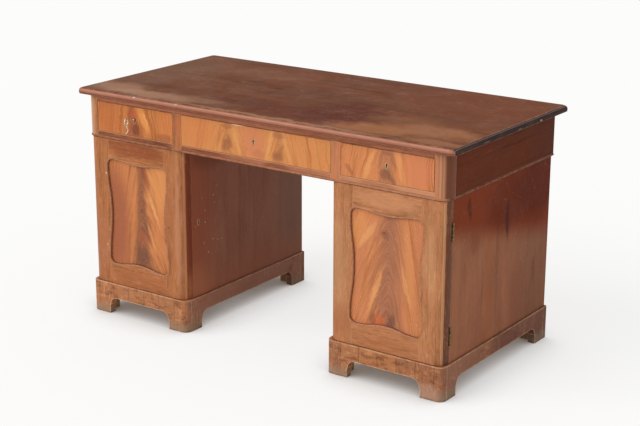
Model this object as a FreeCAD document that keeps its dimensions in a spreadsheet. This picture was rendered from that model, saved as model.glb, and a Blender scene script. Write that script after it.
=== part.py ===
import FreeCAD, Part

import math
import os
import re

import Sketcher
from FreeCAD import Placement, Rotation, Vector

# A pedestal writing desk in figured mahogany.  A moulded top lies on a frieze case with three
# drawers, and the case stands on two cupboards, each on a plinth with bracket feet.
# The front faces -Y, +X is to the right, +Z is up, and the floor is at Z = 0.
# The origin is below the middle of the whole desk, the key in the left drawer included.

# ---------------------------------------------------------------- driving dimensions (mm)

DIMENSIONS = {
    # whole desk
    "desk_height": 770,
    "case_width": 1372,
    "case_depth": 656,
    # top
    "top_thick": 19,
    "overhang_side": 31,
    "overhang_front": 19,
    "overhang_back": 39,
    "top_corner_radius": 22,
    "quirk_inset": 11,
    "quirk_depth": 1.5,
    "thumb_radius": 9,
    "underside_chamfer": 2,
    # frieze case
    "frieze_base": 610,
    "bead_height": 7,
    "bead_reach": 2.5,
    "bead_slope": 2.2,
    "bead_width": 24,
    "sill_height": 633,
    "head_height": 732,
    "corner_radius": 29,
    "rear_radius": 5,
    "post_depth": 45,
    "rail_depth": 22,
    "end_board": 22,
    "frieze_back_board": 18,
    "lap_depth": 9,
    "middle_bay": 287,
    "inner_bay": 321.5,
    "outer_bay": 642.5,
    "partition_board": 20,
    "guide_height": 27,
    "kicker_width": 20,
    # drawers
    "drawer_gap": 0.8,
    "run_gap": 0.3,
    "drawer_front_board": 22,
    "drawer_length": 600,
    "drawer_side_board": 10,
    "drawer_side_top": 727,
    "drawer_bottom_board": 6,
    "drawer_bottom_rise": 6,
    "groove_depth": 5,
    "back_drop": 5,
    "tail_length": 12,
    "tail_root": 8,
    "tail_tip": 10,
    "tail_first": 17,
    "tail_step": 29,
    # pedestals
    "pedestal_width": 400,
    "pedestal_depth": 646,
    "pedestal_inset": 2.6,
    "pedestal_recess": 1.6,
    "carcase_board": 20,
    "carcase_end_board": 18,
    "pedestal_back_board": 12,
    "shelf_height": 352,
    "shelf_board": 16,
    "shelf_setback": 60,
    "cleat": 18,
    # plinths
    "plinth_height": 109,
    "plinth_reach": 7.3,
    "plinth_board": 25,
    "plinth_radius": 24,
    "foot_width": 77,
    "foot_step": 3,
    "step_height": 31,
    "apron_height": 57,
    "arch_radius": 25,
    "ease": 1.5,
    "block": 38,
    "block_lift": 2,
    "bearer_height": 18,
    "bearer_width": 30,
    # doors
    "door_thick": 37,
    "door_gap": 1.2,
    "closing_gap": 0.5,
    "stile_width": 82,
    "panel_recess": 7,
    "panel_board": 12,
    "panel_lap": 9,
    "panel_play": 0.3,
    "opening_half": 131,
    "opening_low": 176,
    "opening_high": 546,
    "side_waist": 13,
    "top_dip": 9,
    "bottom_rise": 12,
    "ear_radius": 27,
    "bead_band": 5,
    "bead_proud": 0.8,
    "bead_play": 0.1,
    "bead_bevel": 1.6,
    # locks and keyholes
    "key_height": 689,
    "side_lock": 482,
    "door_key_depth": 71.5,
    "door_key_height": 365,
    "head_radius": 3.2,
    "leg_half": 1.7,
    "leg_length": 11.2,
    "lining_wall": 2,
    "lock_half": 32,
    "lock_drop": 19,
    "lock_thick": 11,
    "well_half": 10.5,
    "plate": 1.5,
    "bolt_half": 13,
    "bolt_thick": 4,
    "bolt_play": 0.3,
    "bolt_start": 12,
    "bolt_short": 0.6,
    "bolt_throw": 8,
    "talon_half": 4,
    "bolt_mortise_play": 1,
    "drill_pin_radius": 1.2,
    "drill_pin_play": 0.1,
    # key
    "key_reach": 47,
    "shank_radius": 2.2,
    "collar_radius": 3.6,
    "bit_height": 9.5,
    "bit_half": 1.2,
    "bow_radius": 9.3,
    "bow_stretch": 2.7,
    "bow_wire": 3.3,
    "bow_half": 1.5,
    "string_radius": 1,
    # hinges
    "hinge_half": 28,
    "upper_hinge": 513,
    "lower_hinge": 194,
    "pivot_reach": 2.2,
    "barrel_radius": 3,
    "barrel_play": 0.4,
    "barrel_split": 0.3,
    "pin_radius": 1.1,
    "pin_play": 0.1,
    "leaf_width": 18,
    "leaf_thick": 1.6,
}

NEAR = 1e-4
TURNED_SIDES = 12
STRING_SIDES = 6

doc = FreeCAD.newDocument("pedestal_desk")
sheet = doc.addObject("Spreadsheet::Sheet", "dims")
for row, (word, number) in enumerate(DIMENSIONS.items(), start=1):
    sheet.set(f"A{row}", word)
    sheet.set(f"B{row}", str(number))
    sheet.setAlias(f"B{row}", word)
doc.recompute()

# ---------------------------------------------------------------- formulas used in many places

FRONT = "(key_reach - case_depth - overhang_back) / 2"
TOP_UNDERSIDE = "desk_height - top_thick"
FRIEZE_HALF = "case_width / 2"
BEAD_TOP = "frieze_base + bead_height"
CASE_BACK = f"{FRONT} + case_depth"
CASE_BACK_INSIDE = f"{FRONT} + case_depth - frieze_back_board"
RAIL_BACK = f"{FRONT} + rail_depth"

PEDESTAL_OUTER = "case_width / 2 - pedestal_inset"
PEDESTAL_INNER = f"{PEDESTAL_OUTER} - pedestal_width"
PEDESTAL_MIDDLE = f"{PEDESTAL_OUTER} - pedestal_width / 2"
DOOR_FACE = f"{FRONT} + pedestal_recess"
DOOR_BACK = f"{DOOR_FACE} + door_thick"
CARCASE_FRONT = f"{DOOR_BACK} + closing_gap"
PEDESTAL_BACK = f"{DOOR_FACE} + pedestal_depth"
DOOR_LOW = "plinth_height + door_gap"
DOOR_HIGH = "frieze_base - door_gap"

SIDES = ("left", "right")
OTHER = {"left": "right", "right": "left"}
HINGES = {"upper": "upper_hinge", "lower": "lower_hinge"}
DRAWERS = {
    "left": ("-outer_bay", "-inner_bay", "-side_lock"),
    "middle": ("-middle_bay", "middle_bay", "0"),
    "right": ("inner_bay", "outer_bay", "side_lock"),
}

nodes = {}

# ---------------------------------------------------------------- small building functions


def bind(thing, setting, formula):
    """Tie one setting to the sheet; each word of the formula is a cell of the sheet."""
    thing.setExpression(setting, re.sub(r"[a-z_]{2,}", r"dims.\g<0>", str(formula)))


def put(thing, x="0", y="0", z="0", turn=None):
    """Place an object, with a turn about an axis where one is given."""
    if turn:
        axis, angle = turn
        thing.Placement = Placement(Vector(), Rotation(axis, angle))
    for letter, formula in zip("xyz", (x, y, z)):
        bind(thing, f"Placement.Base.{letter}", formula)
    return thing


def keep(label, thing):
    """Name a finished sub-part."""
    thing.Label = label
    nodes[label] = thing
    return thing


def slab(label, x, y, z):
    """A squared board between the low and high formulas along each axis."""
    box = doc.addObject("Part::Box", label)
    for setting, (low, high) in zip(("Length", "Width", "Height"), (x, y, z)):
        bind(box, setting, f"({high}) - ({low})")
    return put(box, x[0], y[0], z[0])


def rod(label, radius, length, start, along="z"):
    """A round bar from a start point along one axis."""
    turns = {"x": (Vector(0, 1, 0), 90), "y": (Vector(1, 0, 0), -90), "z": None}
    bar = doc.addObject("Part::Cylinder", label)
    bind(bar, "Radius", radius)
    bind(bar, "Height", length)
    return put(bar, *start, turn=turns[along])


def turned(label, radius, length, start, along="z"):
    """A small turned part or its hole; twelve flats stand for the round, with their corners on it."""
    turns = {"y": (Vector(1, 0, 0), -90), "z": None}
    bar = doc.addObject("Part::Prism", label)
    bar.Polygon = TURNED_SIDES
    bind(bar, "Circumradius", radius)
    bind(bar, "Height", length)
    return put(bar, *start, turn=turns[along])


def cut(label, wood, tools):
    """Take each tool out of a piece in turn."""
    for count, tool in enumerate(tools, start=1):
        step = doc.addObject("Part::Cut", f"{label}_cut{count}")
        step.Base = wood
        step.Tool = tool
        wood = step
    return wood


def fuse(label, pieces):
    """Join pieces that are one material."""
    whole = doc.addObject("Part::MultiFuse", label)
    whole.Shapes = pieces
    whole.Refine = True
    return whole


def group(label, pieces):
    """Separate like pieces that share one node."""
    lot = doc.addObject("Part::Compound", label)
    lot.Links = pieces
    return keep(label, lot)


def value(word):
    """A driving dimension as a plain number."""
    return float(sheet.get(word))


def across(side, inner, outer):
    """Low and high X of a stretch that is measured out from the middle of the desk."""
    return (f"-({outer})", f"-({inner})") if side == "left" else (inner, outer)


def out(side, distance):
    """X of a place that is measured out from the middle of the desk."""
    return f"-({distance})" if side == "left" else distance


# ---------------------------------------------------------------- choosing edges


def edges_where(shape, test):
    """Numbers of the edges that pass a test."""
    return [number for number, edge in enumerate(shape.Edges, start=1) if test(edge)]


def ends(edge):
    """The two ends of an edge; a closed edge gives one point twice."""
    points = [corner.Point for corner in edge.Vertexes]
    return points[0], points[-1]


def midpoint(edge):
    """The point halfway along an edge."""
    return edge.valueAt((edge.FirstParameter + edge.LastParameter) / 2)


def upright(edge):
    """True for a straight edge along Z."""
    start, end = ends(edge)
    return abs(start.x - end.x) + abs(start.y - end.y) < NEAR and abs(start.z - end.z) > NEAR


def corner_upright(shape, x_side, y_side):
    """Test for the upright edge at one corner of a shape's box."""
    box = shape.BoundBox
    x = box.XMin if x_side == "left" else box.XMax
    y = box.YMin if y_side == "front" else box.YMax
    return lambda edge: upright(edge) and abs(ends(edge)[0].x - x) + abs(ends(edge)[0].y - y) < NEAR


def level(height):
    """Test for the edges that lie at one height."""
    return lambda edge: all(abs(point.z - height) < NEAR for point in ends(edge))


def round_edges(label, piece, radius, test):
    """Round the edges of a primitive or boolean that a test picks."""
    rounded = doc.addObject("Part::Fillet", label)
    rounded.Base = piece
    rounded.Edges = [(number, radius, radius) for number in edges_where(piece.Shape, test)]
    return rounded


# ---------------------------------------------------------------- sketched bodies


def sketch_on(body, label, plane, corners):
    """Closed outline of straight lines whose corners are all bound to the sheet."""
    sketch = body.newObject("Sketcher::SketchObject", label)
    support = [f for f in body.Origin.OriginFeatures if f.Role == plane][0]
    sketch.AttachmentSupport = [(support, "")]
    sketch.MapMode = "FlatFace"
    count = len(corners)
    turns = [math.tau * index / count for index in range(count)]
    rough = [Vector(math.cos(turn), math.sin(turn), 0) for turn in turns]
    for index in range(count):
        sketch.addGeometry(Part.LineSegment(rough[index], rough[(index + 1) % count]), False)
    for index in range(count):
        sketch.addConstraint(Sketcher.Constraint("Coincident", index, 2, (index + 1) % count, 1))
    for index, place in enumerate(corners):
        for kind, formula, start in zip(("DistanceX", "DistanceY"), place, rough[index]):
            number = sketch.addConstraint(Sketcher.Constraint(kind, -1, 1, index, 1, start))
            bind(sketch, f"Constraints[{number}]", formula)
    return sketch


def rectangle(x, y):
    """Corners of a rectangle, anticlockwise."""
    return [(x[0], y[0]), (x[1], y[0]), (x[1], y[1]), (x[0], y[1])]


def new_body(label):
    """An empty PartDesign body."""
    return doc.addObject("PartDesign::Body", label)


def pad(body, label, plane, corners, length, flip=False):
    """Raise an outline into the body."""
    feature = body.newObject("PartDesign::Pad", label)
    feature.Profile = sketch_on(body, f"{label}_outline", plane, corners)
    bind(feature, "Length", length)
    feature.Reversed = flip
    doc.recompute()
    return feature


def pocket(body, label, plane, corners, flip=False):
    """Cut an outline right through the body, and make sure that it took wood away."""
    before = body.Shape.Volume
    feature = body.newObject("PartDesign::Pocket", label)
    feature.Profile = sketch_on(body, f"{label}_outline", plane, corners)
    feature.Type = "ThroughAll"
    feature.Reversed = flip
    doc.recompute()
    if body.Shape.Volume >= before - NEAR:
        raise RuntimeError(f"{body.Label}: {label} cut nothing")
    return feature


def fillet(body, label, radius, test):
    """Round the body's edges that a test picks."""
    last = body.Tip
    names = [f"Edge{number}" for number in edges_where(last.Shape, test)]
    feature = body.newObject("PartDesign::Fillet", label)
    feature.Base = (last, names)
    bind(feature, "Radius", radius)
    doc.recompute()
    return feature


def chamfer(body, label, size, test):
    """Bevel the body's edges that a test picks."""
    last = body.Tip
    names = [f"Edge{number}" for number in edges_where(last.Shape, test)]
    feature = body.newObject("PartDesign::Chamfer", label)
    feature.Base = (last, names)
    bind(feature, "Size", size)
    doc.recompute()
    return feature


# ---------------------------------------------------------------- top


def desk_top():
    """One board with a thumb moulding: a quirk, a quarter round and a bevelled underside."""
    body = new_body("desk_top")
    half = f"{FRIEZE_HALF} + overhang_side"
    front = f"{FRONT} - overhang_front"
    back = f"{CASE_BACK} + overhang_back"
    edge = rectangle((f"-({half})", half), (front, back))
    field = rectangle(
        (f"-({half} - quirk_inset)", f"{half} - quirk_inset"),
        (f"{front} + quirk_inset", f"{back} - quirk_inset"),
    )
    at_shoulder = level(value("top_thick") - value("quirk_depth"))
    margin = value("top_corner_radius") / 3
    pad(body, "field", "XY_Plane", field, "top_thick")
    fillet(body, "field_corners", "top_corner_radius - quirk_inset", upright)
    pad(body, "board", "XY_Plane", edge, "top_thick - quirk_depth")
    box = body.Shape.BoundBox

    def near_rim(edge, limit):
        x, y, _ = midpoint(edge)
        return max(abs(x) - box.XMax, box.YMin - y, y - box.YMax) > -limit

    fillet(body, "corners", "top_corner_radius", lambda edge: upright(edge) and near_rim(edge, NEAR))
    fillet(body, "thumb", "thumb_radius", lambda edge: at_shoulder(edge) and near_rim(edge, margin))
    chamfer(body, "underside", "underside_chamfer", level(0))
    put(body, z=TOP_UNDERSIDE)
    keep("desk_top", body)


# ---------------------------------------------------------------- frieze case


def frieze_bead():
    """Bevelled bead round the front and ends, under the rails."""
    body = new_body("frieze_bead")
    half = f"{FRIEZE_HALF} + bead_reach"
    front = f"{FRONT} - bead_reach"
    inner = f"{half} - bead_width"
    corners = [
        (f"-({half})", front),
        (half, front),
        (half, CASE_BACK),
        (inner, CASE_BACK),
        (inner, f"{front} + bead_width"),
        (f"-({inner})", f"{front} + bead_width"),
        (f"-({inner})", CASE_BACK),
        (f"-({half})", CASE_BACK),
    ]
    pad(body, "strip", "XY_Plane", corners, "bead_height")
    box = body.Shape.BoundBox
    turn = value("corner_radius") + value("bead_reach")

    def front_corner(edge):
        return upright(edge) and abs(ends(edge)[0].y - box.YMin) < NEAR

    def outer(edge):
        start, end = ends(edge)
        middle = midpoint(edge)
        reach = abs(middle.x)
        in_corner = reach > box.XMax - turn / 2 and middle.y < box.YMin + turn / 2
        on_outside = reach > box.XMax - NEAR or middle.y < box.YMin + NEAR
        return abs(start.z - end.z) < NEAR and (on_outside or in_corner)

    fillet(body, "front_corners", "corner_radius + bead_reach", front_corner)
    chamfer(body, "nosing", "bead_slope", outer)
    put(body, z="frieze_base")
    keep("frieze_bead", body)


def frieze_posts():
    """Rounded corner posts at the two ends of the drawer row."""
    posts = []
    for side in SIDES:
        x = across(side, "outer_bay + drawer_gap", FRIEZE_HALF)
        post = slab(f"post_{side}", x, (FRONT, f"{FRONT} + post_depth"), (BEAD_TOP, TOP_UNDERSIDE))
        doc.recompute()
        test = corner_upright(post.Shape, side, "front")
        posts.append(round_edges(f"post_{side}_rounded", post, value("corner_radius"), test))
    group("frieze_corner_posts", posts)


def frieze_ends():
    """End boards between the corner posts and the back."""
    deep = (f"{FRONT} + post_depth", CASE_BACK)
    for side in SIDES:
        x = across(side, f"{FRIEZE_HALF} - end_board", FRIEZE_HALF)
        keep(f"frieze_end_{side}", slab(f"end_{side}", x, deep, (BEAD_TOP, TOP_UNDERSIDE)))


def frieze_front():
    """Rails above and below the drawers, with dividers lapped over the bottom rail."""
    between = ("-(outer_bay + drawer_gap)", "outer_bay + drawer_gap")
    deep = (FRONT, RAIL_BACK)
    lap = (FRONT, f"{FRONT} + lap_depth")
    head = slab("head_rail", between, deep, ("head_height", TOP_UNDERSIDE))
    sill = slab("sill_rail", between, deep, (BEAD_TOP, "sill_height"))
    laps = []
    dividers = []
    for side in SIDES:
        x = across(side, "middle_bay", "inner_bay")
        laps.append(slab(f"lap_{side}", x, lap, (BEAD_TOP, "sill_height")))
        upper = slab(f"divider_{side}", x, deep, ("sill_height", "head_height"))
        lower = slab(f"divider_foot_{side}", x, lap, (BEAD_TOP, "sill_height"))
        dividers.append(fuse(f"divider_whole_{side}", [upper, lower]))
    slot = f"{FRONT} + drawer_front_board - (lock_thick + bolt_thick) / 2"
    slot_deep = (f"{slot} - bolt_mortise_play", f"{slot} + bolt_thick + bolt_mortise_play")
    slot_tall = ("head_height - 1", "head_height + bolt_throw + bolt_mortise_play")
    mortises = []
    for name, (_, _, middle) in DRAWERS.items():
        half = "bolt_half + bolt_mortise_play"
        slot_wide = (f"{middle} - ({half})", f"{middle} + {half}")
        mortises.append(slab(f"rail_mortise_{name}", slot_wide, slot_deep, slot_tall))
    keep("frieze_top_rail", cut("head_rail_mortised", head, mortises))
    keep("frieze_bottom_rail", cut("sill_rail_lapped", sill, laps))
    group("frieze_dividers", dividers)


def frieze_inside():
    """Deck, partitions, guides and kickers that the drawers run between, and the back."""
    inside = f"{FRIEZE_HALF} - end_board"
    full = (f"-({inside})", inside)
    deep = (RAIL_BACK, CASE_BACK_INSIDE)
    behind_post = (f"{FRONT} + post_depth", CASE_BACK_INSIDE)
    notches = []
    partitions = []
    strips = []
    for side in SIDES:
        notch_x = across(side, "outer_bay + drawer_gap", f"{inside} + 1")
        notch_y = (f"{RAIL_BACK} - 1", f"{FRONT} + post_depth")
        notch_z = (BEAD_TOP, "sill_height + 1")
        notches.append(slab(f"deck_notch_{side}", notch_x, notch_y, notch_z))
        face_in = "(middle_bay + inner_bay - partition_board) / 2"
        face_out = "(middle_bay + inner_bay + partition_board) / 2"
        board_x = across(side, face_in, face_out)
        upright_z = ("sill_height", TOP_UNDERSIDE)
        partitions.append(slab(f"partition_{side}", board_x, deep, upright_z))
        guide_z = ("sill_height", "sill_height + guide_height")
        kicker_z = ("head_height", TOP_UNDERSIDE)
        runs = [
            ("middle_bay", face_in, deep, guide_z),
            (face_out, "inner_bay", deep, guide_z),
            ("outer_bay", inside, behind_post, guide_z),
            ("middle_bay - kicker_width", face_in, deep, kicker_z),
            (face_out, "inner_bay + kicker_width", deep, kicker_z),
            ("outer_bay - kicker_width", inside, behind_post, kicker_z),
        ]
        for count, (inner, outer, y, z) in enumerate(runs):
            strips.append(slab(f"strip_{side}_{count}", across(side, inner, outer), y, z))
    deck = slab("deck", full, deep, ("frieze_base", "sill_height"))
    keep("drawer_deck", cut("deck_notched", deck, notches))
    back_y = (CASE_BACK_INSIDE, CASE_BACK)
    keep("frieze_back", slab("back_board", full, back_y, ("frieze_base", TOP_UNDERSIDE)))
    group("frieze_partitions", partitions)
    group("drawer_guides", strips)


# ---------------------------------------------------------------- locks


def keyhole(label, spread, start, depth):
    """Keyhole-shaped bar along +Y: a round head about the Y axis and a square-ended leg below it."""
    head = rod(f"{label}_head", f"head_radius + {spread}", depth, ("0", start, "0"), "y")
    leg_x = (f"-(leg_half + {spread})", f"leg_half + {spread}")
    leg_z = (f"-(leg_length + {spread})", "0")
    leg = slab(f"{label}_leg", leg_x, (start, f"{start} + {depth}"), leg_z)
    return fuse(label, [head, leg])


def lock(label, board, case, channel, bolt, tail, place):
    """A lock let into the far face of a board, with the key's axis along Y at X = Z = 0.

    Gives the case with its drill pin, the brass keyhole lining, the bolt, and the space
    that all of them need in the wood.
    """
    face = f"({board} - lock_thick)"
    slot = f"({board} - (lock_thick + bolt_thick) / 2)"
    swing = ("-well_half", "well_half")
    block = slab(f"{label}_block", case[0], (face, board), case[1])
    well = slab(f"{label}_well", swing, (f"{face} + plate", f"{board} - plate"), swing)
    way_y = (f"{slot} - bolt_play", f"{slot} + bolt_thick + bolt_play")
    way = slab(f"{label}_channel", channel[0], way_y, channel[1])
    entry_x = ("-head_radius", "head_radius")
    entry_z = ("-leg_length", "head_radius")
    entry = slab(f"{label}_entry", entry_x, (f"{face} - plate", f"{face} + 2 * plate"), entry_z)
    hollow = cut(f"{label}_hollow", block, [well, way, entry])
    pin_start = ("0", f"{face} + plate", "0")
    pin = turned(f"{label}_drill_pin", "drill_pin_radius", "lock_thick - 1.5 * plate", pin_start, "y")
    whole = fuse(f"{label}_case", [hollow, pin])

    outer = keyhole(f"{label}_lining_outer", "lining_wall", "0", face)
    inner = keyhole(f"{label}_lining_inner", "0", "-1", f"{face} + 2")
    lining = cut(f"{label}_lining", outer, [inner])

    bar = slab(f"{label}_bar", bolt[0], (slot, f"{slot} + bolt_thick"), bolt[1])
    talon_x = (f"{tail[0]} - talon_half", f"{tail[0]} + talon_half")
    talon_z = (f"{tail[1]} - talon_half", f"{tail[1]} + talon_half")
    talon = slab(f"{label}_talon", talon_x, (f"{slot} - 1", f"{slot} + bolt_thick + 1"), talon_z)
    shot = cut(f"{label}_bolt", bar, [talon])

    bed = slab(f"{label}_bed", case[0], (face, f"{board} + 1"), case[1])
    seat = keyhole(f"{label}_seat", "lining_wall", "-1", f"{face} + 2")
    mouth = slab(f"{label}_mouth", channel[0], (face, f"{board} + 1"), channel[1])
    space = fuse(f"{label}_space", [bed, seat, mouth])
    return [put(thing, *place) for thing in (whole, lining, shot, space)]


def drawer_lock(name, middle):
    """Lock in the back of a drawer front; its bolt rises into the top rail."""
    top = "(head_height - drawer_gap - key_height)"
    case = (("-lock_half", "lock_half"), ("-lock_drop", top))
    half = "bolt_half + bolt_play"
    channel = ((f"-({half})", half), ("bolt_start - bolt_play", f"{top} + 1"))
    bolt = (("-bolt_half", "bolt_half"), ("bolt_start", f"{top} - bolt_short"))
    place = (middle, FRONT, "key_height")
    tail = ("0", "bolt_start")
    whole, lining, shot, space = lock(
        f"drawer_lock_{name}", "drawer_front_board", case, channel, bolt, tail, place
    )
    group(f"drawer_{name}_lock", [whole, lining])
    keep(f"drawer_{name}_bolt", shot)
    return space


def door_lock(side):
    """Lock in a cupboard's kneehole side; its bolt runs forward into the door."""
    reach = "(door_key_depth - pedestal_recess - door_thick - closing_gap)"
    case = (across(side, "-lock_drop", reach), ("-lock_half", "lock_half"))
    half = "bolt_half + bolt_play"
    channel = (across(side, "bolt_start - bolt_play", f"{reach} + 1"), (f"-({half})", half))
    bolt = (across(side, "bolt_start", f"{reach} - bolt_short"), ("-bolt_half", "bolt_half"))
    into_wood = (Vector(0, 0, 1), 90 if side == "left" else -90)
    place = (out(side, PEDESTAL_INNER), f"{FRONT} + door_key_depth", "door_key_height", into_wood)
    tail = (out(side, "bolt_start"), "0")
    whole, lining, shot, space = lock(
        f"door_lock_{side}", "carcase_board", case, channel, bolt, tail, place
    )
    keep(f"door_{side}_bolt", shot)
    return whole, lining, space


# ---------------------------------------------------------------- hinges


def hinge_place(side, height):
    """Where a hinge's pivot stands."""
    return out(side, f"{PEDESTAL_OUTER} + pivot_reach"), f"{DOOR_BACK} + closing_gap / 2", height


def barrel_lengths(joints):
    """Low and high Z of a hinge's middle knuckle, or of its top and bottom knuckles."""
    split = "hinge_half / 3 - barrel_split / 2"
    if joints == "middle":
        return [(f"-({split})", split)]
    other = "hinge_half / 3 + barrel_split / 2"
    return [("-hinge_half", f"-({other})"), (other, "hinge_half")]


def leaf(label, side, plate_y, own, other, place):
    """One leaf of a butt hinge with its own knuckles, notched for the other leaf's knuckles."""
    x = across(OTHER[side], "0", "pivot_reach + leaf_width")
    piece = slab(f"{label}_plate", x, plate_y, ("-hinge_half", "hinge_half"))
    notch_x = across(OTHER[side], "-1", "barrel_radius + barrel_play")
    notch_y = (f"{plate_y[0]} - 1", f"{plate_y[1]} + 1")
    notches = []
    for count, (low, high) in enumerate(barrel_lengths(other)):
        z = (f"{low} - barrel_split", f"{high} + barrel_split")
        notches.append(slab(f"{label}_notch_{count}", notch_x, notch_y, z))
    barrels = []
    for count, (low, high) in enumerate(barrel_lengths(own)):
        tall = f"({high}) - ({low})"
        barrels.append(turned(f"{label}_knuckle_{count}", "barrel_radius", tall, ("0", "0", low)))
    whole = fuse(f"{label}_whole", [cut(f"{label}_notched", piece, notches)] + barrels)
    bore_start = ("0", "0", "-hinge_half - 1")
    bore = turned(f"{label}_bore", "pin_radius + pin_play", "2 * hinge_half + 2", bore_start)
    return put(cut(f"{label}_bored", whole, [bore]), *place)


def hinge_pin(label, place):
    """Hinge pin, filed flush with the barrel's ends."""
    x, y, z = place
    return turned(label, "pin_radius", "2 * hinge_half", (x, y, f"{z} - hinge_half"))


def hinge_space(label, side, plate_y):
    """Wood to take away for one leaf and for the barrel, about the pivot."""
    x = across(OTHER[side], "0", "pivot_reach + leaf_width")
    bed = slab(f"{label}_bed", x, plate_y, ("-hinge_half", "hinge_half"))
    tall = "2 * (hinge_half + barrel_split)"
    start = ("0", "0", "-hinge_half - barrel_split")
    relief = rod(f"{label}_relief", "barrel_radius + barrel_play", tall, start)
    return fuse(label, [bed, relief])


# ---------------------------------------------------------------- pedestals


def pedestal(side):
    """Cupboard of glued boards, open in front, with a shelf."""
    side_y = (CARCASE_FRONT, PEDESTAL_BACK)
    inside_y = (CARCASE_FRONT, f"{PEDESTAL_BACK} - pedestal_back_board")
    tall = ("plinth_height", "frieze_base")
    inside_x = across(side, f"{PEDESTAL_INNER} + carcase_board", f"{PEDESTAL_OUTER} - carcase_board")

    outer_x = across(side, f"{PEDESTAL_OUTER} - carcase_board", PEDESTAL_OUTER)
    outer = slab(f"outer_side_{side}", outer_x, side_y, tall)
    spaces = []
    for name, height in HINGES.items():
        plate_y = ("-(closing_gap / 2 + 1)", "closing_gap / 2 + leaf_thick")
        space = hinge_space(f"case_hinge_{name}_{side}", side, plate_y)
        spaces.append(put(space, *hinge_place(side, height)))
    keep(f"pedestal_{side}_outer_side", cut(f"outer_side_let_in_{side}", outer, spaces))

    inner_x = across(side, PEDESTAL_INNER, f"{PEDESTAL_INNER} + carcase_board")
    inner = slab(f"inner_side_{side}", inner_x, side_y, tall)
    whole, lining, space = door_lock(side)
    keep(f"pedestal_{side}_inner_side", cut(f"inner_side_let_in_{side}", inner, [space]))

    back_y = (f"{PEDESTAL_BACK} - pedestal_back_board", PEDESTAL_BACK)
    keep(f"pedestal_{side}_back", slab(f"cupboard_back_{side}", inside_x, back_y, tall))
    floor_z = ("plinth_height", "plinth_height + carcase_end_board")
    ceiling_z = ("frieze_base - carcase_end_board", "frieze_base")
    boards = [
        slab(f"cupboard_floor_{side}", inside_x, inside_y, floor_z),
        slab(f"cupboard_ceiling_{side}", inside_x, inside_y, ceiling_z),
    ]
    group(f"pedestal_{side}_top_and_bottom", boards)

    shelf_y = (f"{CARCASE_FRONT} + shelf_setback", f"{PEDESTAL_BACK} - pedestal_back_board")
    shelf_z = ("shelf_height", "shelf_height + shelf_board")
    keep(f"pedestal_{side}_shelf", slab(f"cupboard_shelf_{side}", inside_x, shelf_y, shelf_z))
    low, high = inside_x
    cleat_z = ("shelf_height - cleat", "shelf_height")
    cleats = [
        slab(f"cleat_low_{side}", (low, f"{low} + cleat"), shelf_y, cleat_z),
        slab(f"cleat_high_{side}", (f"{high} - cleat", high), shelf_y, cleat_z),
    ]
    return [whole, lining], cleats


# ---------------------------------------------------------------- plinths


def plinth_board(label, half, radius, ease_depth, place):
    """A plinth board with two bracket feet and an arch; its outer face lies at Y = 0."""
    body = new_body(label)
    opening = f"({half} - foot_width)"
    if radius is None:
        opening = f"({half} + plinth_board - foot_width)"
    narrow = f"({opening} - foot_step)"
    face = rectangle((f"-({half})", half), ("0", "plinth_height"))
    arch = rectangle((f"-{narrow}", narrow), ("-1", "apron_height"))
    step = rectangle((f"-{opening}", opening), ("-1", "step_height"))
    pad(body, "face", "XZ_Plane", face, "plinth_board", flip=True)
    pocket(body, "arch", "XZ_Plane", arch)
    at_apron = level(value("apron_height"))

    def arch_corner(edge):
        start, end = ends(edge)
        return at_apron(edge) and abs(start.x - end.x) < NEAR

    fillet(body, "arch_corners", "arch_radius", arch_corner)
    pocket(body, "feet", "XZ_Plane", step)
    reach = body.Shape.BoundBox.XMax
    at_top = level(value("plinth_height"))

    def end_corner(edge):
        place = ends(edge)[0]
        return upright(edge) and abs(place.y) < NEAR and abs(abs(place.x) - reach) < NEAR

    def top_outer(edge):
        return at_top(edge) and midpoint(edge).y < ease_depth

    if radius:
        fillet(body, "end_corners", radius, end_corner)
    chamfer(body, "eased", "ease", top_outer)
    return put(body, *place)


def plinth(side):
    """Four boards round the foot of a cupboard, with blocks and bearers inside them."""
    half = "pedestal_width / 2 + plinth_reach"
    half_deep = "pedestal_depth / 2 + plinth_reach - plinth_board"
    middle_x = out(side, PEDESTAL_MIDDLE)
    middle_y = f"{DOOR_FACE} + pedestal_depth / 2"
    front_y = f"{DOOR_FACE} - plinth_reach"
    rear_y = f"{PEDESTAL_BACK} + plinth_reach"
    low_x = f"{middle_x} - ({half})"
    high_x = f"{middle_x} + {half}"
    z_axis = Vector(0, 0, 1)
    through = value("plinth_board") - NEAR
    boards = [
        plinth_board(f"plinth_front_{side}", half, "plinth_radius", through, (middle_x, front_y, "0")),
        plinth_board(
            f"plinth_rear_{side}", half, "rear_radius", through, (middle_x, rear_y, "0", (z_axis, 180))
        ),
        plinth_board(f"plinth_low_{side}", half_deep, None, NEAR, (low_x, middle_y, "0", (z_axis, -90))),
        plinth_board(f"plinth_high_{side}", half_deep, None, NEAR, (high_x, middle_y, "0", (z_axis, 90))),
    ]
    group(f"plinth_{side}", boards)

    inner_x = (f"{low_x} + plinth_board", f"{high_x} - plinth_board")
    inner_y = (f"{front_y} + plinth_board", f"{rear_y} - plinth_board")
    bearer_z = ("plinth_height - bearer_height", "plinth_height")
    block_z = ("block_lift", "plinth_height - bearer_height")
    block_x = [(inner_x[0], f"{inner_x[0]} + block"), (f"{inner_x[1]} - block", inner_x[1])]
    block_y = [(inner_y[0], f"{inner_y[0]} + block"), (f"{inner_y[1]} - block", inner_y[1])]
    blocks = [
        slab(f"block_{side}_{column}_{row}", x, y, block_z)
        for column, x in enumerate(block_x)
        for row, y in enumerate(block_y)
    ]
    bearer_y = [
        (inner_y[0], f"{CARCASE_FRONT} + bearer_width"),
        (f"{inner_y[1]} - bearer_width", inner_y[1]),
    ]
    bearers = [
        slab(f"bearer_{side}_{count}", inner_x, y, bearer_z) for count, y in enumerate(bearer_y)
    ]
    return blocks, bearers


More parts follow.
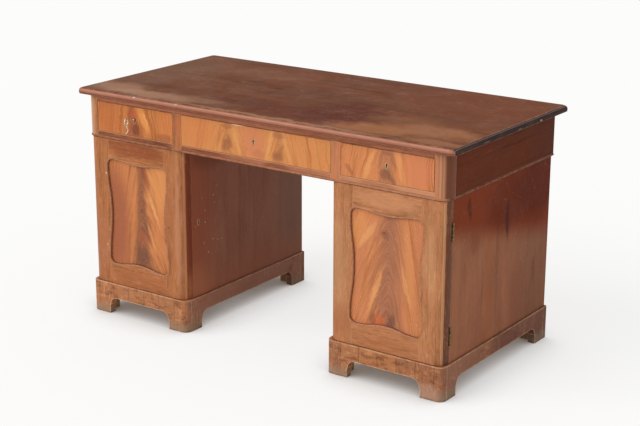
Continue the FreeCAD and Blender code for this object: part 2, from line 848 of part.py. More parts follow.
# ---------------------------------------------------------------- doors


def s_curve(start, end, along):
    """Two equal tangent arcs between parallel stretches, leaving and arriving along a direction."""
    middle = (start + end) / 2
    reach = (end - start).dot(along)
    shift = (end - start) - along * reach
    turn = 2 * math.atan2(shift.Length, reach)
    radius = reach / (2 * math.sin(turn))
    drop = radius * (1 - math.cos(turn / 2))
    forward = radius * math.sin(turn / 2)
    toward = shift.normalize()
    first = start + along * forward + toward * drop
    second = end - along * forward - toward * drop
    return [Part.Arc(start, first, middle).toShape(), Part.Arc(middle, second, end).toShape()]


def cartouche():
    """Outline of a door's opening: four round ears, waisted sides, a dipped top and a raised foot.

    It is drawn in the X-Z plane about the door's middle line.
    """
    half = value("opening_half")
    low = value("opening_low")
    high = value("opening_high")
    ear = value("ear_radius")
    waist = value("side_waist")
    middle = (low + high) / 2
    right = Vector(1, 0, 0)
    up = Vector(0, 0, 1)
    edges = []

    def at(x, z):
        return Vector(x, 0, z)

    def ear_arc(centre, start_angle):
        points = []
        for angle in (start_angle, start_angle + 45, start_angle + 90):
            direction = math.radians(angle)
            points.append(centre + at(ear * math.cos(direction), ear * math.sin(direction)))
        return Part.Arc(*points).toShape()

    foot = low + value("bottom_rise")
    head = high - value("top_dip")
    edges += s_curve(at(0, foot), at(half - ear, low), right)
    edges.append(ear_arc(at(half - ear, low + ear), -90))
    edges += s_curve(at(half, low + ear), at(half - waist, middle), up)
    edges += s_curve(at(half - waist, middle), at(half, high - ear), up)
    edges.append(ear_arc(at(half - ear, high - ear), 0))
    edges += s_curve(at(half - ear, high), at(0, head), -right)
    edges += s_curve(at(0, head), at(ear - half, high), -right)
    edges.append(ear_arc(at(ear - half, high - ear), 90))
    edges += s_curve(at(-half, high - ear), at(waist - half, middle), -up)
    edges += s_curve(at(waist - half, middle), at(-half, low + ear), -up)
    edges.append(ear_arc(at(ear - half, low + ear), 180))
    edges += s_curve(at(ear - half, low), at(0, foot), right)
    return Part.Wire(edges)


def solid_from(label, shape):
    """A document object that holds a finished shape."""
    thing = doc.addObject("Part::Feature", label)
    thing.Shape = shape
    return thing


def prism(wire, start, depth):
    """An outline in the X-Z plane raised along +Y."""
    face = Part.Face(wire)
    face.translate(Vector(0, start, 0))
    return face.extrude(Vector(0, depth, 0))


def door(side):
    """Framed door with a sunk cartouche panel inside a raised bead."""
    half = "pedestal_width / 2"
    stile_in = f"({half} - stile_width)"
    deep = ("0", "door_thick")
    place = (out(side, PEDESTAL_MIDDLE), DOOR_FACE, "0")
    outline = cartouche()
    opening = solid_from(f"door_opening_{side}", prism(outline, -1, value("panel_recess") + 2))
    lap = "panel_lap + panel_play"
    rebate_x = (f"-(opening_half + {lap})", f"opening_half + {lap}")
    rebate_z = (f"opening_low - ({lap})", f"opening_high + {lap}")
    rebate = slab(f"door_rebate_{side}", rebate_x, ("panel_recess", "door_thick + 1"), rebate_z)

    spaces = {"left": [], "right": []}
    for name, height in HINGES.items():
        plate_y = ("-(closing_gap / 2 + leaf_thick)", "closing_gap / 2 + 1")
        space = hinge_space(f"door_hinge_{name}_{side}", side, plate_y)
        pivot_x = out(side, f"{half} + pivot_reach")
        spaces[side].append(put(space, pivot_x, "door_thick + closing_gap / 2", height))
    bolt_edge = f"({half} - carcase_board + (lock_thick - bolt_thick) / 2)"
    bolt_x = across(
        OTHER[side],
        f"{bolt_edge} - bolt_mortise_play",
        f"{bolt_edge} + bolt_thick + bolt_mortise_play",
    )
    bolt_y = ("door_thick - bolt_throw - bolt_mortise_play", "door_thick + 1")
    bolt_half = "(bolt_half + bolt_mortise_play)"
    bolt_z = (f"door_key_height - {bolt_half}", f"door_key_height + {bolt_half}")
    spaces[OTHER[side]].append(slab(f"door_bolt_mortise_{side}", bolt_x, bolt_y, bolt_z))

    stiles = []
    for edge in SIDES:
        board_x = across(edge, stile_in, half)
        board = slab(f"stile_{side}_{edge}", board_x, deep, (DOOR_LOW, DOOR_HIGH))
        doc.recompute()
        test = corner_upright(board.Shape, edge, "front")
        rounded = round_edges(f"stile_rounded_{side}_{edge}", board, value("corner_radius"), test)
        worked = cut(f"stile_worked_{side}_{edge}", rounded, [opening, rebate] + spaces[edge])
        stiles.append(put(worked, *place))
    group(f"door_{side}_stiles", stiles)

    rails = []
    rail_heights = {
        "lower": (DOOR_LOW, "opening_low + bottom_rise"),
        "upper": ("opening_high - top_dip", DOOR_HIGH),
    }
    for name, tall in rail_heights.items():
        board = slab(f"door_rail_{side}_{name}", (f"-{stile_in}", stile_in), deep, tall)
        worked = cut(f"door_rail_worked_{side}_{name}", board, [opening, rebate])
        rails.append(put(worked, *place))
    group(f"door_{side}_rails", rails)

    middle = out(side, PEDESTAL_MIDDLE)
    panel_x = (f"{middle} - (opening_half + panel_lap)", f"{middle} + opening_half + panel_lap")
    panel_y = (f"{DOOR_FACE} + panel_recess", f"{DOOR_FACE} + panel_recess + panel_board")
    panel_z = ("opening_low - panel_lap", "opening_high + panel_lap")
    keep(f"door_{side}_panel", slab(f"panel_{side}", panel_x, panel_y, panel_z))

    outer = outline.makeOffset2D(-value("bead_play"))
    inner = outline.makeOffset2D(-value("bead_band"))
    proud = value("bead_proud")
    height = proud + value("panel_recess")
    ring = prism(outer, -proud, height).cut(prism(inner, -proud - 1, height + 2))
    front = [face for face in ring.Faces if abs(face.CenterOfMass.y + proud) < NEAR][0]
    rim = [wire for wire in front.Wires if not wire.isSame(front.OuterWire)][0]
    ring = ring.makeChamfer(value("bead_bevel"), rim.Edges)
    keep(f"door_{side}_bead", put(solid_from(f"bead_{side}", ring), *place))


def hinges():
    """Two butt hinges for each door."""
    case_leaves = []
    pins = []
    for side in SIDES:
        door_leaves = []
        for name, height in HINGES.items():
            place = hinge_place(side, height)
            label = f"{name}_{side}"
            case_y = ("closing_gap / 2", "closing_gap / 2 + leaf_thick")
            door_y = ("-(closing_gap / 2 + leaf_thick)", "-closing_gap / 2")
            case_leaves.append(leaf(f"case_leaf_{label}", side, case_y, "ends", "middle", place))
            door_leaves.append(leaf(f"door_leaf_{label}", side, door_y, "middle", "ends", place))
            pins.append(hinge_pin(f"pin_{label}", place))
        group(f"door_{side}_hinge_leaves", door_leaves)
    group("hinge_case_leaves", case_leaves)
    group("hinge_pins", pins)


# ---------------------------------------------------------------- drawers


def tail(label, x, height):
    """One dovetail, widest at its tip, that holds a drawer side in the drawer front."""
    wedge = doc.addObject("Part::Wedge", label)
    settings = {
        "Xmin": x[0],
        "Xmax": x[1],
        "X2min": x[0],
        "X2max": x[1],
        "Ymin": f"{RAIL_BACK} - tail_length",
        "Ymax": RAIL_BACK,
        "Zmin": f"{height} - tail_tip",
        "Zmax": f"{height} + tail_tip",
        "Z2min": f"{height} - tail_root",
        "Z2max": f"{height} + tail_root",
    }
    for setting, formula in settings.items():
        bind(wedge, setting, formula)
    return wedge


def drawer(name, low, high, middle):
    """Drawer with dovetailed sides, a grooved-in bottom and a lock."""
    left = f"{low} + drawer_gap"
    right = f"{high} - drawer_gap"
    sill = "sill_height + run_gap"
    back_end = f"{FRONT} + drawer_length"
    bottom_x = (
        f"{left} + drawer_side_board - groove_depth",
        f"{right} - drawer_side_board + groove_depth",
    )
    bottom_y = (f"{RAIL_BACK} - groove_depth", back_end)
    bottom_low = f"{sill} + drawer_bottom_rise"
    bottom_z = (bottom_low, f"{bottom_low} + drawer_bottom_board")
    bottom = keep(f"drawer_{name}_bottom", slab(f"bottom_{name}", bottom_x, bottom_y, bottom_z))

    sides = []
    tails = []
    side_x = {
        "left": (left, f"{left} + drawer_side_board"),
        "right": (f"{right} - drawer_side_board", right),
    }
    for edge, x in side_x.items():
        board = slab(f"side_{name}_{edge}", x, (RAIL_BACK, back_end), (sill, "drawer_side_top"))
        own = [
            tail(f"tail_{name}_{edge}_{count}", x, f"({sill} + tail_first + {count} * tail_step)")
            for count in range(3)
        ]
        joined = fuse(f"side_dovetailed_{name}_{edge}", [board] + own)
        sides.append(cut(f"side_grooved_{name}_{edge}", joined, [bottom]))
        tails += own
    back_x = (f"{left} + drawer_side_board", f"{right} - drawer_side_board")
    back_y = (f"{back_end} - drawer_side_board", back_end)
    back_z = (bottom_z[1], "drawer_side_top - back_drop")
    sides.append(slab(f"drawer_back_{name}", back_x, back_y, back_z))
    group(f"drawer_{name}_sides_and_back", sides)

    front_z = ("sill_height + drawer_gap", "head_height - drawer_gap")
    board = slab(f"front_{name}", (left, right), (FRONT, RAIL_BACK), front_z)
    space = drawer_lock(name, middle)
    keep(f"drawer_{name}_front", cut(f"front_worked_{name}", board, tails + [bottom, space]))


# ---------------------------------------------------------------- key


def stadium(label, radius, half, middle):
    """Flat oval plate across X: two round ends one above the other."""
    start = f"-{half}"
    high = rod(f"{label}_high", radius, f"2 * {half}", (start, middle, "bow_stretch"), "x")
    low = rod(f"{label}_low", radius, f"2 * {half}", (start, middle, "-bow_stretch"), "x")
    y = (f"{middle} - {radius}", f"{middle} + {radius}")
    waist = slab(f"{label}_waist", (start, half), y, ("-bow_stretch", "bow_stretch"))
    return fuse(label, [high, low, waist])


def key():
    """Steel key with an open oval bow and a hollow end that turns on the lock's drill pin."""
    place = ("-side_lock", FRONT, "key_height")
    middle = "(bow_radius - key_reach)"
    plate = stadium("bow_plate", "bow_radius", "bow_half", middle)
    hole = stadium("bow_hole", "(bow_radius - bow_wire)", "(bow_half + 1)", middle)
    bow = cut("bow", plate, [hole])
    shank_start = "(2 * bow_radius - key_reach - bow_wire / 2)"
    shank_end = "(drawer_front_board - plate - 0.7)"
    shank_length = f"{shank_end} - {shank_start}"
    shank = rod("shank", "shank_radius", shank_length, ("0", shank_start, "0"), "y")
    collar = rod("collar", "collar_radius", "3", ("0", "-5", "0"), "y")
    bit_y = ("drawer_front_board - lock_thick + plate + 0.7", shank_end)
    bit = slab("bit", ("-bit_half", "bit_half"), bit_y, ("-bit_height", "0"))
    solid = fuse("key_solid", [shank, collar, bit])
    whole = fuse("key_whole", [bow, solid])
    bore_length = "lock_thick - plate"
    bore_start = ("0", "drawer_front_board - lock_thick", "0")
    bore = turned("key_bore", "drill_pin_radius + drill_pin_play", bore_length, bore_start, "y")
    keep("drawer_key", put(cut("key_bored", whole, [bore]), *place))


def cord_path(points):
    """Straight runs joined by tangent arcs, as large as the shorter run at each turn allows."""
    edges = []
    start = points[0]
    for before, corner, after in zip(points, points[1:], points[2:]):
        inward = (corner - before).normalize()
        onward = (after - corner).normalize()
        turn = math.acos(inward.dot(onward))
        setback = 0.45 * min((corner - before).Length, (after - corner).Length)
        radius = setback / math.tan(turn / 2)
        print(f"string turn {math.degrees(turn):.0f} degrees, radius {radius:.1f} mm")
        first = corner - inward * setback
        last = corner + onward * setback
        bisector = (onward - inward).normalize()
        centre = corner + bisector * (radius / math.cos(turn / 2))
        edges.append(Part.LineSegment(start, first).toShape())
        edges.append(Part.Arc(first, centre - bisector * radius, last).toShape())
        start = last
    edges.append(Part.LineSegment(start, points[-1]).toShape())
    return Part.Wire(edges)


def key_string():
    """Short loose string that hangs from the bottom of the key's bow; its section has six sides."""
    radius = value("string_radius")
    bow_y = value("bow_radius") - value("key_reach")
    hang = -value("bow_stretch") - value("bow_radius")
    route = [
        (0, 0, 0),
        (0, 0, -5.5),
        (4, 1.3, -10.7),
        (4.4, 1.5, -17.9),
        (-0.8, 0.7, -22.9),
        (-4.2, -0.1, -28.2),
    ]
    points = [Vector(x, bow_y + y, hang + z) for x, y, z in route]
    path = cord_path(points)
    turns = [math.tau * step / STRING_SIDES for step in range(STRING_SIDES + 1)]
    rim = [points[0] + Vector(math.cos(turn), math.sin(turn), 0) * radius for turn in turns]
    outline = Part.makePolygon(rim)
    strand = path.makePipeShell([outline], True, False)
    section = Part.Face(outline).Area
    print(f"string length {path.Length:.1f} mm")
    print(f"string volume {strand.Volume:.1f} mm3, section times length {section * path.Length:.1f} mm3")
    keep("key_string", put(solid_from("string", strand), "-side_lock", FRONT, "key_height"))


# ---------------------------------------------------------------- the whole desk


def build():
    """Make every sub-part in its place."""
    desk_top()
    frieze_bead()
    frieze_posts()
    frieze_ends()
    frieze_front()
    frieze_inside()
    locks = []
    cleats = []
    blocks = []
    bearers = []
    for side in SIDES:
        side_locks, side_cleats = pedestal(side)
        side_blocks, side_bearers = plinth(side)
        locks += side_locks
        cleats += side_cleats
        blocks += side_blocks
        bearers += side_bearers
        door(side)
    group("door_locks", locks)
    group("shelf_cleats", cleats)
    group("plinth_glue_blocks", blocks)
    group("plinth_bearers", bearers)
    hinges()
    for name, (low, high, middle) in DRAWERS.items():
        drawer(name, low, high, middle)
    key()
    key_string()
    doc.recompute()


def check():
    """Stop on any object that did not build, or any sub-part that is not sound."""
    for thing in doc.Objects:
        if any(state in ("Invalid", "Error") for state in thing.State):
            raise RuntimeError(f"{thing.Label} did not build: {thing.State}")
    for label, thing in nodes.items():
        shape = thing.Shape
        if shape.isNull() or not shape.isValid() or not shape.Solids:
            raise RuntimeError(f"{label} is not a sound solid")


build()
check()
os.makedirs("parts", exist_ok=True)
for label, thing in nodes.items():
    thing.Shape.exportStep(f"parts/{label}.step")
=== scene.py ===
import math
import random

import bmesh
import bpy
from mathutils import Matrix, Vector


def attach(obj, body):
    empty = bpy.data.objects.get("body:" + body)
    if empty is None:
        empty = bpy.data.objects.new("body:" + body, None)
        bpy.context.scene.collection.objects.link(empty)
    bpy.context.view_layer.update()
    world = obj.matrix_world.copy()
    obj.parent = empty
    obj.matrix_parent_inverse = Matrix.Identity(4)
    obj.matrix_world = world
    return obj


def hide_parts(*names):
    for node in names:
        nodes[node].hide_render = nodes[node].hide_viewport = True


# The looks of a pedestal writing desk in figured mahogany.  Everything is in metres, in the frame of
# the joiner's model: the front faces -Y, +X is to the right and the floor is at Z = 0.

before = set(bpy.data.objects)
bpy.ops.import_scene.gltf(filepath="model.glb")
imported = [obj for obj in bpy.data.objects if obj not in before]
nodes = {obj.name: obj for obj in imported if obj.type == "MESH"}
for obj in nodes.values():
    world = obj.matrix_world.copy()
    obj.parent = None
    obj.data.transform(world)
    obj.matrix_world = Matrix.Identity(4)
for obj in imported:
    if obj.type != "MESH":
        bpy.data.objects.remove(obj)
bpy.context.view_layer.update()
MM = 0.001
SIDES = ("left", "right")
DRAWERS = ("left", "middle", "right")

# ------------------------ camera

CAMERA_PLACE = Vector((2738.6, -3876.7, 1807.9)) * MM
CAMERA_YAW = math.radians(35.02)
CAMERA_PITCH = math.radians(-16.73)
CAMERA_ROLL = math.radians(0.18)
CAMERA_LENS = 85.2
CAMERA_SENSOR = 36


def set_camera():
    """A long lens to the right of the desk, a little above eye height."""
    data = bpy.data.cameras.new("camera")
    data.lens = CAMERA_LENS
    data.sensor_width = CAMERA_SENSOR
    camera = bpy.data.objects.new("camera", data)
    turned = Matrix.Rotation(CAMERA_YAW, 4, "Z")
    tipped = Matrix.Rotation(math.pi / 2 + CAMERA_PITCH, 4, "X")
    rolled = Matrix.Rotation(CAMERA_ROLL, 4, "Z")
    camera.matrix_world = Matrix.Translation(CAMERA_PLACE) @ turned @ tipped @ rolled
    bpy.context.scene.collection.objects.link(camera)
    bpy.context.scene.camera = camera


# ------------------------ making things


def add_piece(name, data, body, material):
    """Link a mesh or curve as a piece of the desk that rides on one body."""
    piece = bpy.data.objects.new(name, data)
    bpy.context.scene.collection.objects.link(piece)
    data.materials.append(material)
    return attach(piece, body)


def mesh_from(name, points, faces, smooth=True):
    """A mesh from its points and faces."""
    mesh = bpy.data.meshes.new(name)
    mesh.from_pydata([tuple(point) for point in points], [], faces)
    mesh.update()
    for polygon in mesh.polygons:
        polygon.use_smooth = smooth
    return mesh


# ------------------------ key string

STRING_THICK = 2.0 * MM
KEY_PLACE = Vector((-482, -324, 689)) * MM
BOW_FOOT = Vector((0, -37.7, -12)) * MM
# how the string falls from the bow's foot, in millimetres
STRING_ROUTE = [
    (0, 0, 0),
    (0, 0, -5.5),
    (4, 1.3, -10.7),
    (4.4, 1.5, -17.9),
    (-0.8, 0.7, -22.9),
    (-4.2, -0.1, -28.2),
]
LOOP_THICK = 1.8 * MM
# the loop through the bow and the hitch under it: each one's middle below the bow's foot, two
# directions in its plane and its radius, in millimetres
KNOT_LOOPS = [
    ((0, 0, 1.65), (1, 0.12, 0), (0, 0.1, 1), 3.0),
    ((0, 0, -2.6), (1, 0, 0.25), (0, 1, -0.1), 1.3),
]


def string_curve(points):
    """A round strand along a smooth spline."""
    curve = bpy.data.curves.new("string_end", "CURVE")
    curve.dimensions = "3D"
    curve.bevel_depth = STRING_THICK / 2
    curve.bevel_resolution = 4
    curve.use_fill_caps = True
    spline = curve.splines.new("NURBS")
    spline.points.add(len(points) - 1)
    for point, place in zip(spline.points, points):
        point.co = (*place, 1)
    spline.order_u = 3
    spline.use_endpoint_u = True
    spline.resolution_u = 8
    return curve


def knot_rings(foot, steps=20, sides=8):
    """Points and faces of the knot's loops, which hang from one place."""
    points, faces = [], []
    for below, first, second, radius in KNOT_LOOPS:
        base = len(points)
        middle = foot + Vector(below) * MM
        first, second = Vector(first).normalized(), Vector(second).normalized()
        normal = first.cross(second)
        for step in range(steps):
            turn = math.tau * step / steps
            outward = first * math.cos(turn) + second * math.sin(turn)
            for side in range(sides):
                twist = math.tau * side / sides
                off = outward * math.cos(twist) + normal * math.sin(twist)
                points.append(middle + outward * radius * MM + off * LOOP_THICK / 2)
                near, far = base + step * sides, base + (step + 1) % steps * sides
                after = (side + 1) % sides
                faces.append((near + side, near + after, far + after, far + side))
    return points, faces


def tie_string(material):
    """The loop of string through the bow, and the hitch under it."""
    mesh = mesh_from("string_knot", *knot_rings(KEY_PLACE + BOW_FOOT))
    return add_piece("string_knot", mesh, "key", material)


def hang_string(material):
    """The short limp string on the key's bow."""
    start = KEY_PLACE + BOW_FOOT
    points = [start + Vector(step) * MM for step in STRING_ROUTE]
    strand = add_piece("string_end", string_curve(points), "key", material)
    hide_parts("key_string")
    knot = tie_string(material)


# ------------------------ shader nodes


def add(tree, kind, *given, stops=(), sockets=None, **settings):
    """Add one shader node.

    What is given in order, or by the socket's name, is linked if it is a node or a socket and
    set as the value otherwise.  Stops are a colour ramp's places and colours.
    """
    node = tree.nodes.new(f"ShaderNode{kind}")
    for name, setting in settings.items():
        setattr(node, name, setting)
    for name, wire in [*enumerate(given), *(sockets or {}).items()]:
        if isinstance(wire, bpy.types.Node):
            wire = wire.outputs[0]
        if isinstance(wire, bpy.types.NodeSocket):
            tree.links.new(wire, node.inputs[name])
        elif wire is not None:
            node.inputs[name].default_value = wire
    for count, (place, colour) in enumerate(stops):
        if count > 1:
            node.color_ramp.elements.new(place)
        node.color_ramp.elements[count].position = place
        node.color_ramp.elements[count].color = colour
    return node


def tone(code):
    """A colour written as sRGB hex, as linear values."""
    parts = [int(code[start : start + 2], 16) / 255 for start in (1, 3, 5)]
    linear = [part / 12.92 if part <= 0.04045 else ((part + 0.055) / 1.055) ** 2.4 for part in parts]
    return (*linear, 1.0)


def new_material(name):
    """An empty material, its node tree and the place of each point on the desk."""
    material = bpy.data.materials.new(name)
    material.use_nodes = True
    tree = material.node_tree
    tree.nodes.clear()
    return material, tree, add(tree, "TexCoord").outputs["Object"]


# ------------------------ patterns, sized in millimetres

# a patch is full up to one share of its reach and gone at the other
PATCH_FULL = 0.45
PATCH_GONE = 1.15
# chips and lines stay this near to where they are given, in bends of this size
FIRM_STRAY = (0.6, 0.6, 0.6)
FIRM_BEND = (30, 30, 30)


def metres(parts):
    """Millimetres as metres."""
    return tuple(part * MM for part in parts)


def grain_size(grain, across, along):
    """Size of a pattern along X, Y and Z for wood whose grain runs along one axis."""
    return tuple(along if axis == grain else across for axis in "xyz")


def cloud(tree, place, size, seed, detail, rough=0.5):
    """Cloudy pattern with its size along each axis; the seed moves it, so that no two woods are alike."""
    scale = tuple(1000 / length for length in size)
    moved = add(tree, "Mapping", place, (seed, seed * 1.7, seed * 0.6), None, scale)
    return add(tree, "TexNoise", moved, sockets={"Scale": 1.0, "Detail": detail, "Roughness": rough})


def wandered(tree, place, size, by, seed):
    """Places pushed aside by a cloudy pattern, so that what is drawn from them isn't straight."""
    wander = cloud(tree, place, size, seed, 3.0, 0.55)
    shift = add(tree, "VectorMath", wander.outputs["Color"], (0.5, 0.5, 0.5), operation="SUBTRACT")
    reach = tuple(2 * part * MM for part in by)
    return add(tree, "VectorMath", shift, reach, place, operation="MULTIPLY_ADD")


def tinted(tree, colour, pattern, low, high, tint, share):
    """Another tone that comes in softly where a pattern or a distance goes from low to high."""
    strength = add(tree, "MapRange", pattern, low, high, 0.0, share, interpolation_type="SMOOTHSTEP")
    return add(tree, "MixRGB", strength, colour, tone(tint))


def shaded(tree, colour, pattern, low, high, least, most):
    """A colour made darker and lighter as a pattern goes from low to high."""
    factor = add(tree, "MapRange", pattern, low, high, least, most)
    return add(tree, "MixRGB", 1.0, colour, factor, blend_type="MULTIPLY")


def patch(tree, place, colour, centre, reach, tint, share, turn=0.0):
    """A soft-edged patch of another tone, turned about the Y axis by so many degrees."""
    lean = (0, math.radians(turn), 0)
    local = add(tree, "Mapping", place, metres(centre), lean, metres(reach), vector_type="TEXTURE")
    far = add(tree, "VectorMath", local, operation="LENGTH").outputs["Value"]
    return tinted(tree, colour, far, PATCH_GONE, PATCH_FULL, tint, share)


def fade(tree, place, colour, along, start, end, tint, share):
    """Another tone that comes in softly from one distance along a direction to another."""
    reach = add(tree, "VectorMath", place, along, operation="DOT_PRODUCT").outputs["Value"]
    return tinted(tree, colour, reach, start * MM, end * MM, tint, share)


def chip(tree, place, colour, centre, reach, tint, share=0.9):
    """A small chip, knock or spot of paint."""
    return patch(tree, place, colour, centre, reach, tint, share)


def marked(tree, place, colour, marks, seed, ragged=(14, 14, 14), bend=(55, 55, 55)):
    """Draw a wood's own patches, fades and chips: the patches ragged, the rest nearly true."""
    if not marks:
        return colour
    loose = wandered(tree, place, bend, ragged, seed + 20)
    firm = wandered(tree, place, FIRM_BEND, FIRM_STRAY, seed + 21)
    for draw, *mark in marks:
        colour = draw(tree, loose if draw is patch else firm, colour, *mark)
    return colour


# ------------------------ polished mahogany

# how far in from an edge the polish is drawn pale, rubbed by hands and with a painted highlight
ARRIS = 2.4
# how far off a wall may stand and still darken the corner with painted shade, which also stands for dark
# wax
CREVICE = 5.0 * MM
# the dark wax in pores, seams and corners; in the corners it is painted shade as well
WAX_AND_SHADE = "#3A2016"
FLAME_WAX_AND_SHADE = "#4A2818"
# a pore shows where its cloudy pattern rises from the first number to the second
PORES = (0.58, 0.72)
FINE_PORES = (0.60, 0.74)
PORE_DEPTH = 0.4 * MM
SHELLAC_IOR = 1.45
# how far from a plume's middle line its feathers turn over from one side to the other
TURN_OVER = 6 * MM
# the arches come in over so much height, above and below the one given for them
ARCH_FADE = 40
# how much the broad, the middling and the fine stripes count in the feathers
BROAD_SHARE = 0.40
MIDDLING_SHARE = 0.32
FINE_SHARE = 0.28
# strips of veneer on the plinths: their width, their pale edge, worn and with a painted highlight, and
# its tone
VENEER_STRIP = 66.0 * MM
VENEER_ARRIS = 5.0
VENEER_RUBBED = "#E2B894"


def edge_wear_and_painted_light(tree, place, colour, rubbed, wax_and_shade, seed, arris=ARRIS):
    """Arrises pale, rubbed by two centuries of hands and lit by a painted highlight, chips beside them,
    painted shade with dark wax in the corners.

    The arris is how far in from an edge the rubbing reaches.
    """
    flat = add(tree, "NewGeometry").outputs["Normal"]
    rounded = add(tree, "Bevel", arris * MM, samples=6)
    turn = add(tree, "VectorMath", rounded, flat, operation="DOT_PRODUCT").outputs["Value"]
    edge = add(tree, "MapRange", turn, 0.995, 0.91)
    # the rubbing comes and goes every 24 mm or so
    uneven = cloud(tree, place, (24, 24, 24), seed + 31, 4.0, 0.65)
    uneven = add(tree, "MapRange", uneven, 0.36, 0.60, 0.20, 1.0)
    edge = add(tree, "Math", edge, uneven, operation="MULTIPLY")
    # the pale arris is both wear and a painted highlight, drawn the same whichever way the edge faces
    colour = add(tree, "MixRGB", edge, colour, tone(rubbed))
    # chips a few millimetres wide, gathered in places a hand's breadth apart
    chips = cloud(tree, place, (7, 7, 7), seed + 41, 3.0, 0.6)
    chips = add(tree, "MapRange", chips, 0.64, 0.69, 0.0, 0.40)
    where = cloud(tree, place, (130, 130, 130), seed + 43, 2.0)
    chips = add(tree, "Math", chips, add(tree, "MapRange", where, 0.45, 0.60), operation="MULTIPLY")
    colour = add(tree, "MixRGB", chips, colour, tone(rubbed))
    # painted shade in corners and recesses, where nearby walls keep out the light; it also stands for
    # dark wax
    open_sky = add(tree, "AmbientOcclusion", sockets={"Distance": CREVICE}, samples=8).outputs["AO"]
    corner = add(tree, "MapRange", open_sky, 0.75, 0.30, 0.0, 0.75)
    return add(tree, "MixRGB", corner, colour, tone(wax_and_shade))


def scratched(tree, place, colour, grain, pale, seed, share):
    """Old scratches and lifted flakes of polish along the grain, in some places more than in others."""
    lines = cloud(tree, place, grain_size(grain, 2.4, 34), seed + 51, 3.0, 0.7)
    where = cloud(tree, place, (110, 110, 170), seed + 53, 3.0, 0.6)
    where = add(tree, "MapRange", where, 0.42, 0.62, 0.0, share)
    lines = add(tree, "MapRange", lines, 0.54, 0.68)
    strength = add(tree, "Math", lines, where, operation="MULTIPLY")
    return add(tree, "MixRGB", strength, colour, tone(pale))


def french_polish(tree, place, colour, pores, seed, roughness=(0.34, 0.50), film=0.10, edge=FINE_PORES):
    """Shellac polish, rubbed soft: a thin clear film whose gloss comes and goes, sunk into the pores.

    The film is how strongly it mirrors the room, and the edge is where a pore begins and is full.
    """
    rubbed = cloud(tree, place, (90, 90, 90), seed + 3, 4.0, 0.6)
    sheen = add(tree, "MapRange", rubbed, 0.3, 0.7, *roughness)
    height = add(tree, "MapRange", pores, *edge, 1.0, 0.4)
    bump = add(tree, "Bump", sockets={"Strength": 0.35, "Distance": PORE_DEPTH, "Height": height})
    shader = add(
        tree,
        "BsdfPrincipled",
        sockets={
            "Base Color": colour,
            "Roughness": sheen,
            "IOR": SHELLAC_IOR,
            "Specular IOR Level": film,
            "Normal": bump,
        },
    )
    add(tree, "OutputMaterial", shader)


def straight_mahogany(
    name, grain, tones, seed, streak=(9, 420), marks=(), rubbed="#C99A72", wax_and_shade=WAX_AND_SHADE, bands=0.12,
    gloss=(0.34, 0.50), film=0.10, ragged=(14, 14, 14), arris=ARRIS, scratches=0.4, fleck=0.16,
):
    """Plain-sawn mahogany: soft streaks, short flecks, dark pores and slow changes along the grain.

    The grain is the axis that the wood runs along, and the streak is its width and length.  Bands
    and fleck are how far the slow and the short changes go, and ragged is how far the patches stray.
    """
    material, tree, place = new_material(name)
    bent = wandered(tree, place, (240, 240, 240), (10, 10, 10), seed + 5)
    streaks = cloud(tree, bent, grain_size(grain, *streak), seed, 4.0, 0.58)
    dark, middle, light = (tone(code) for code in tones)
    colour = add(tree, "ValToRGB", streaks, stops=[(0.30, dark), (0.70, light), (0.50, middle)])
    broad = cloud(tree, bent, grain_size(grain, 60, 240), seed + 9, 5.0, 0.62)
    colour = shaded(tree, colour, broad, 0.30, 0.70, 1 - bands, 1 + bands)
    short = cloud(tree, bent, grain_size(grain, 5, 36), seed + 6, 4.0, 0.7)
    colour = shaded(tree, colour, short, 0.34, 0.66, 1 - fleck, 1 + fleck)
    # real pores are 0.2 mm wide and 3 mm long; they are drawn wider, so that they show
    pores = cloud(tree, bent, grain_size(grain, 2.0, 20), seed + 2, 2.0, 0.7)
    colour = tinted(tree, colour, pores, *PORES, wax_and_shade, 0.40)
    colour = marked(tree, place, colour, marks, seed, ragged)
    colour = scratched(tree, bent, colour, grain, rubbed, seed, scratches)
    colour = edge_wear_and_painted_light(tree, place, colour, rubbed, wax_and_shade, seed, arris)
    french_polish(tree, place, colour, pores, seed, gloss, film, PORES)
    return material


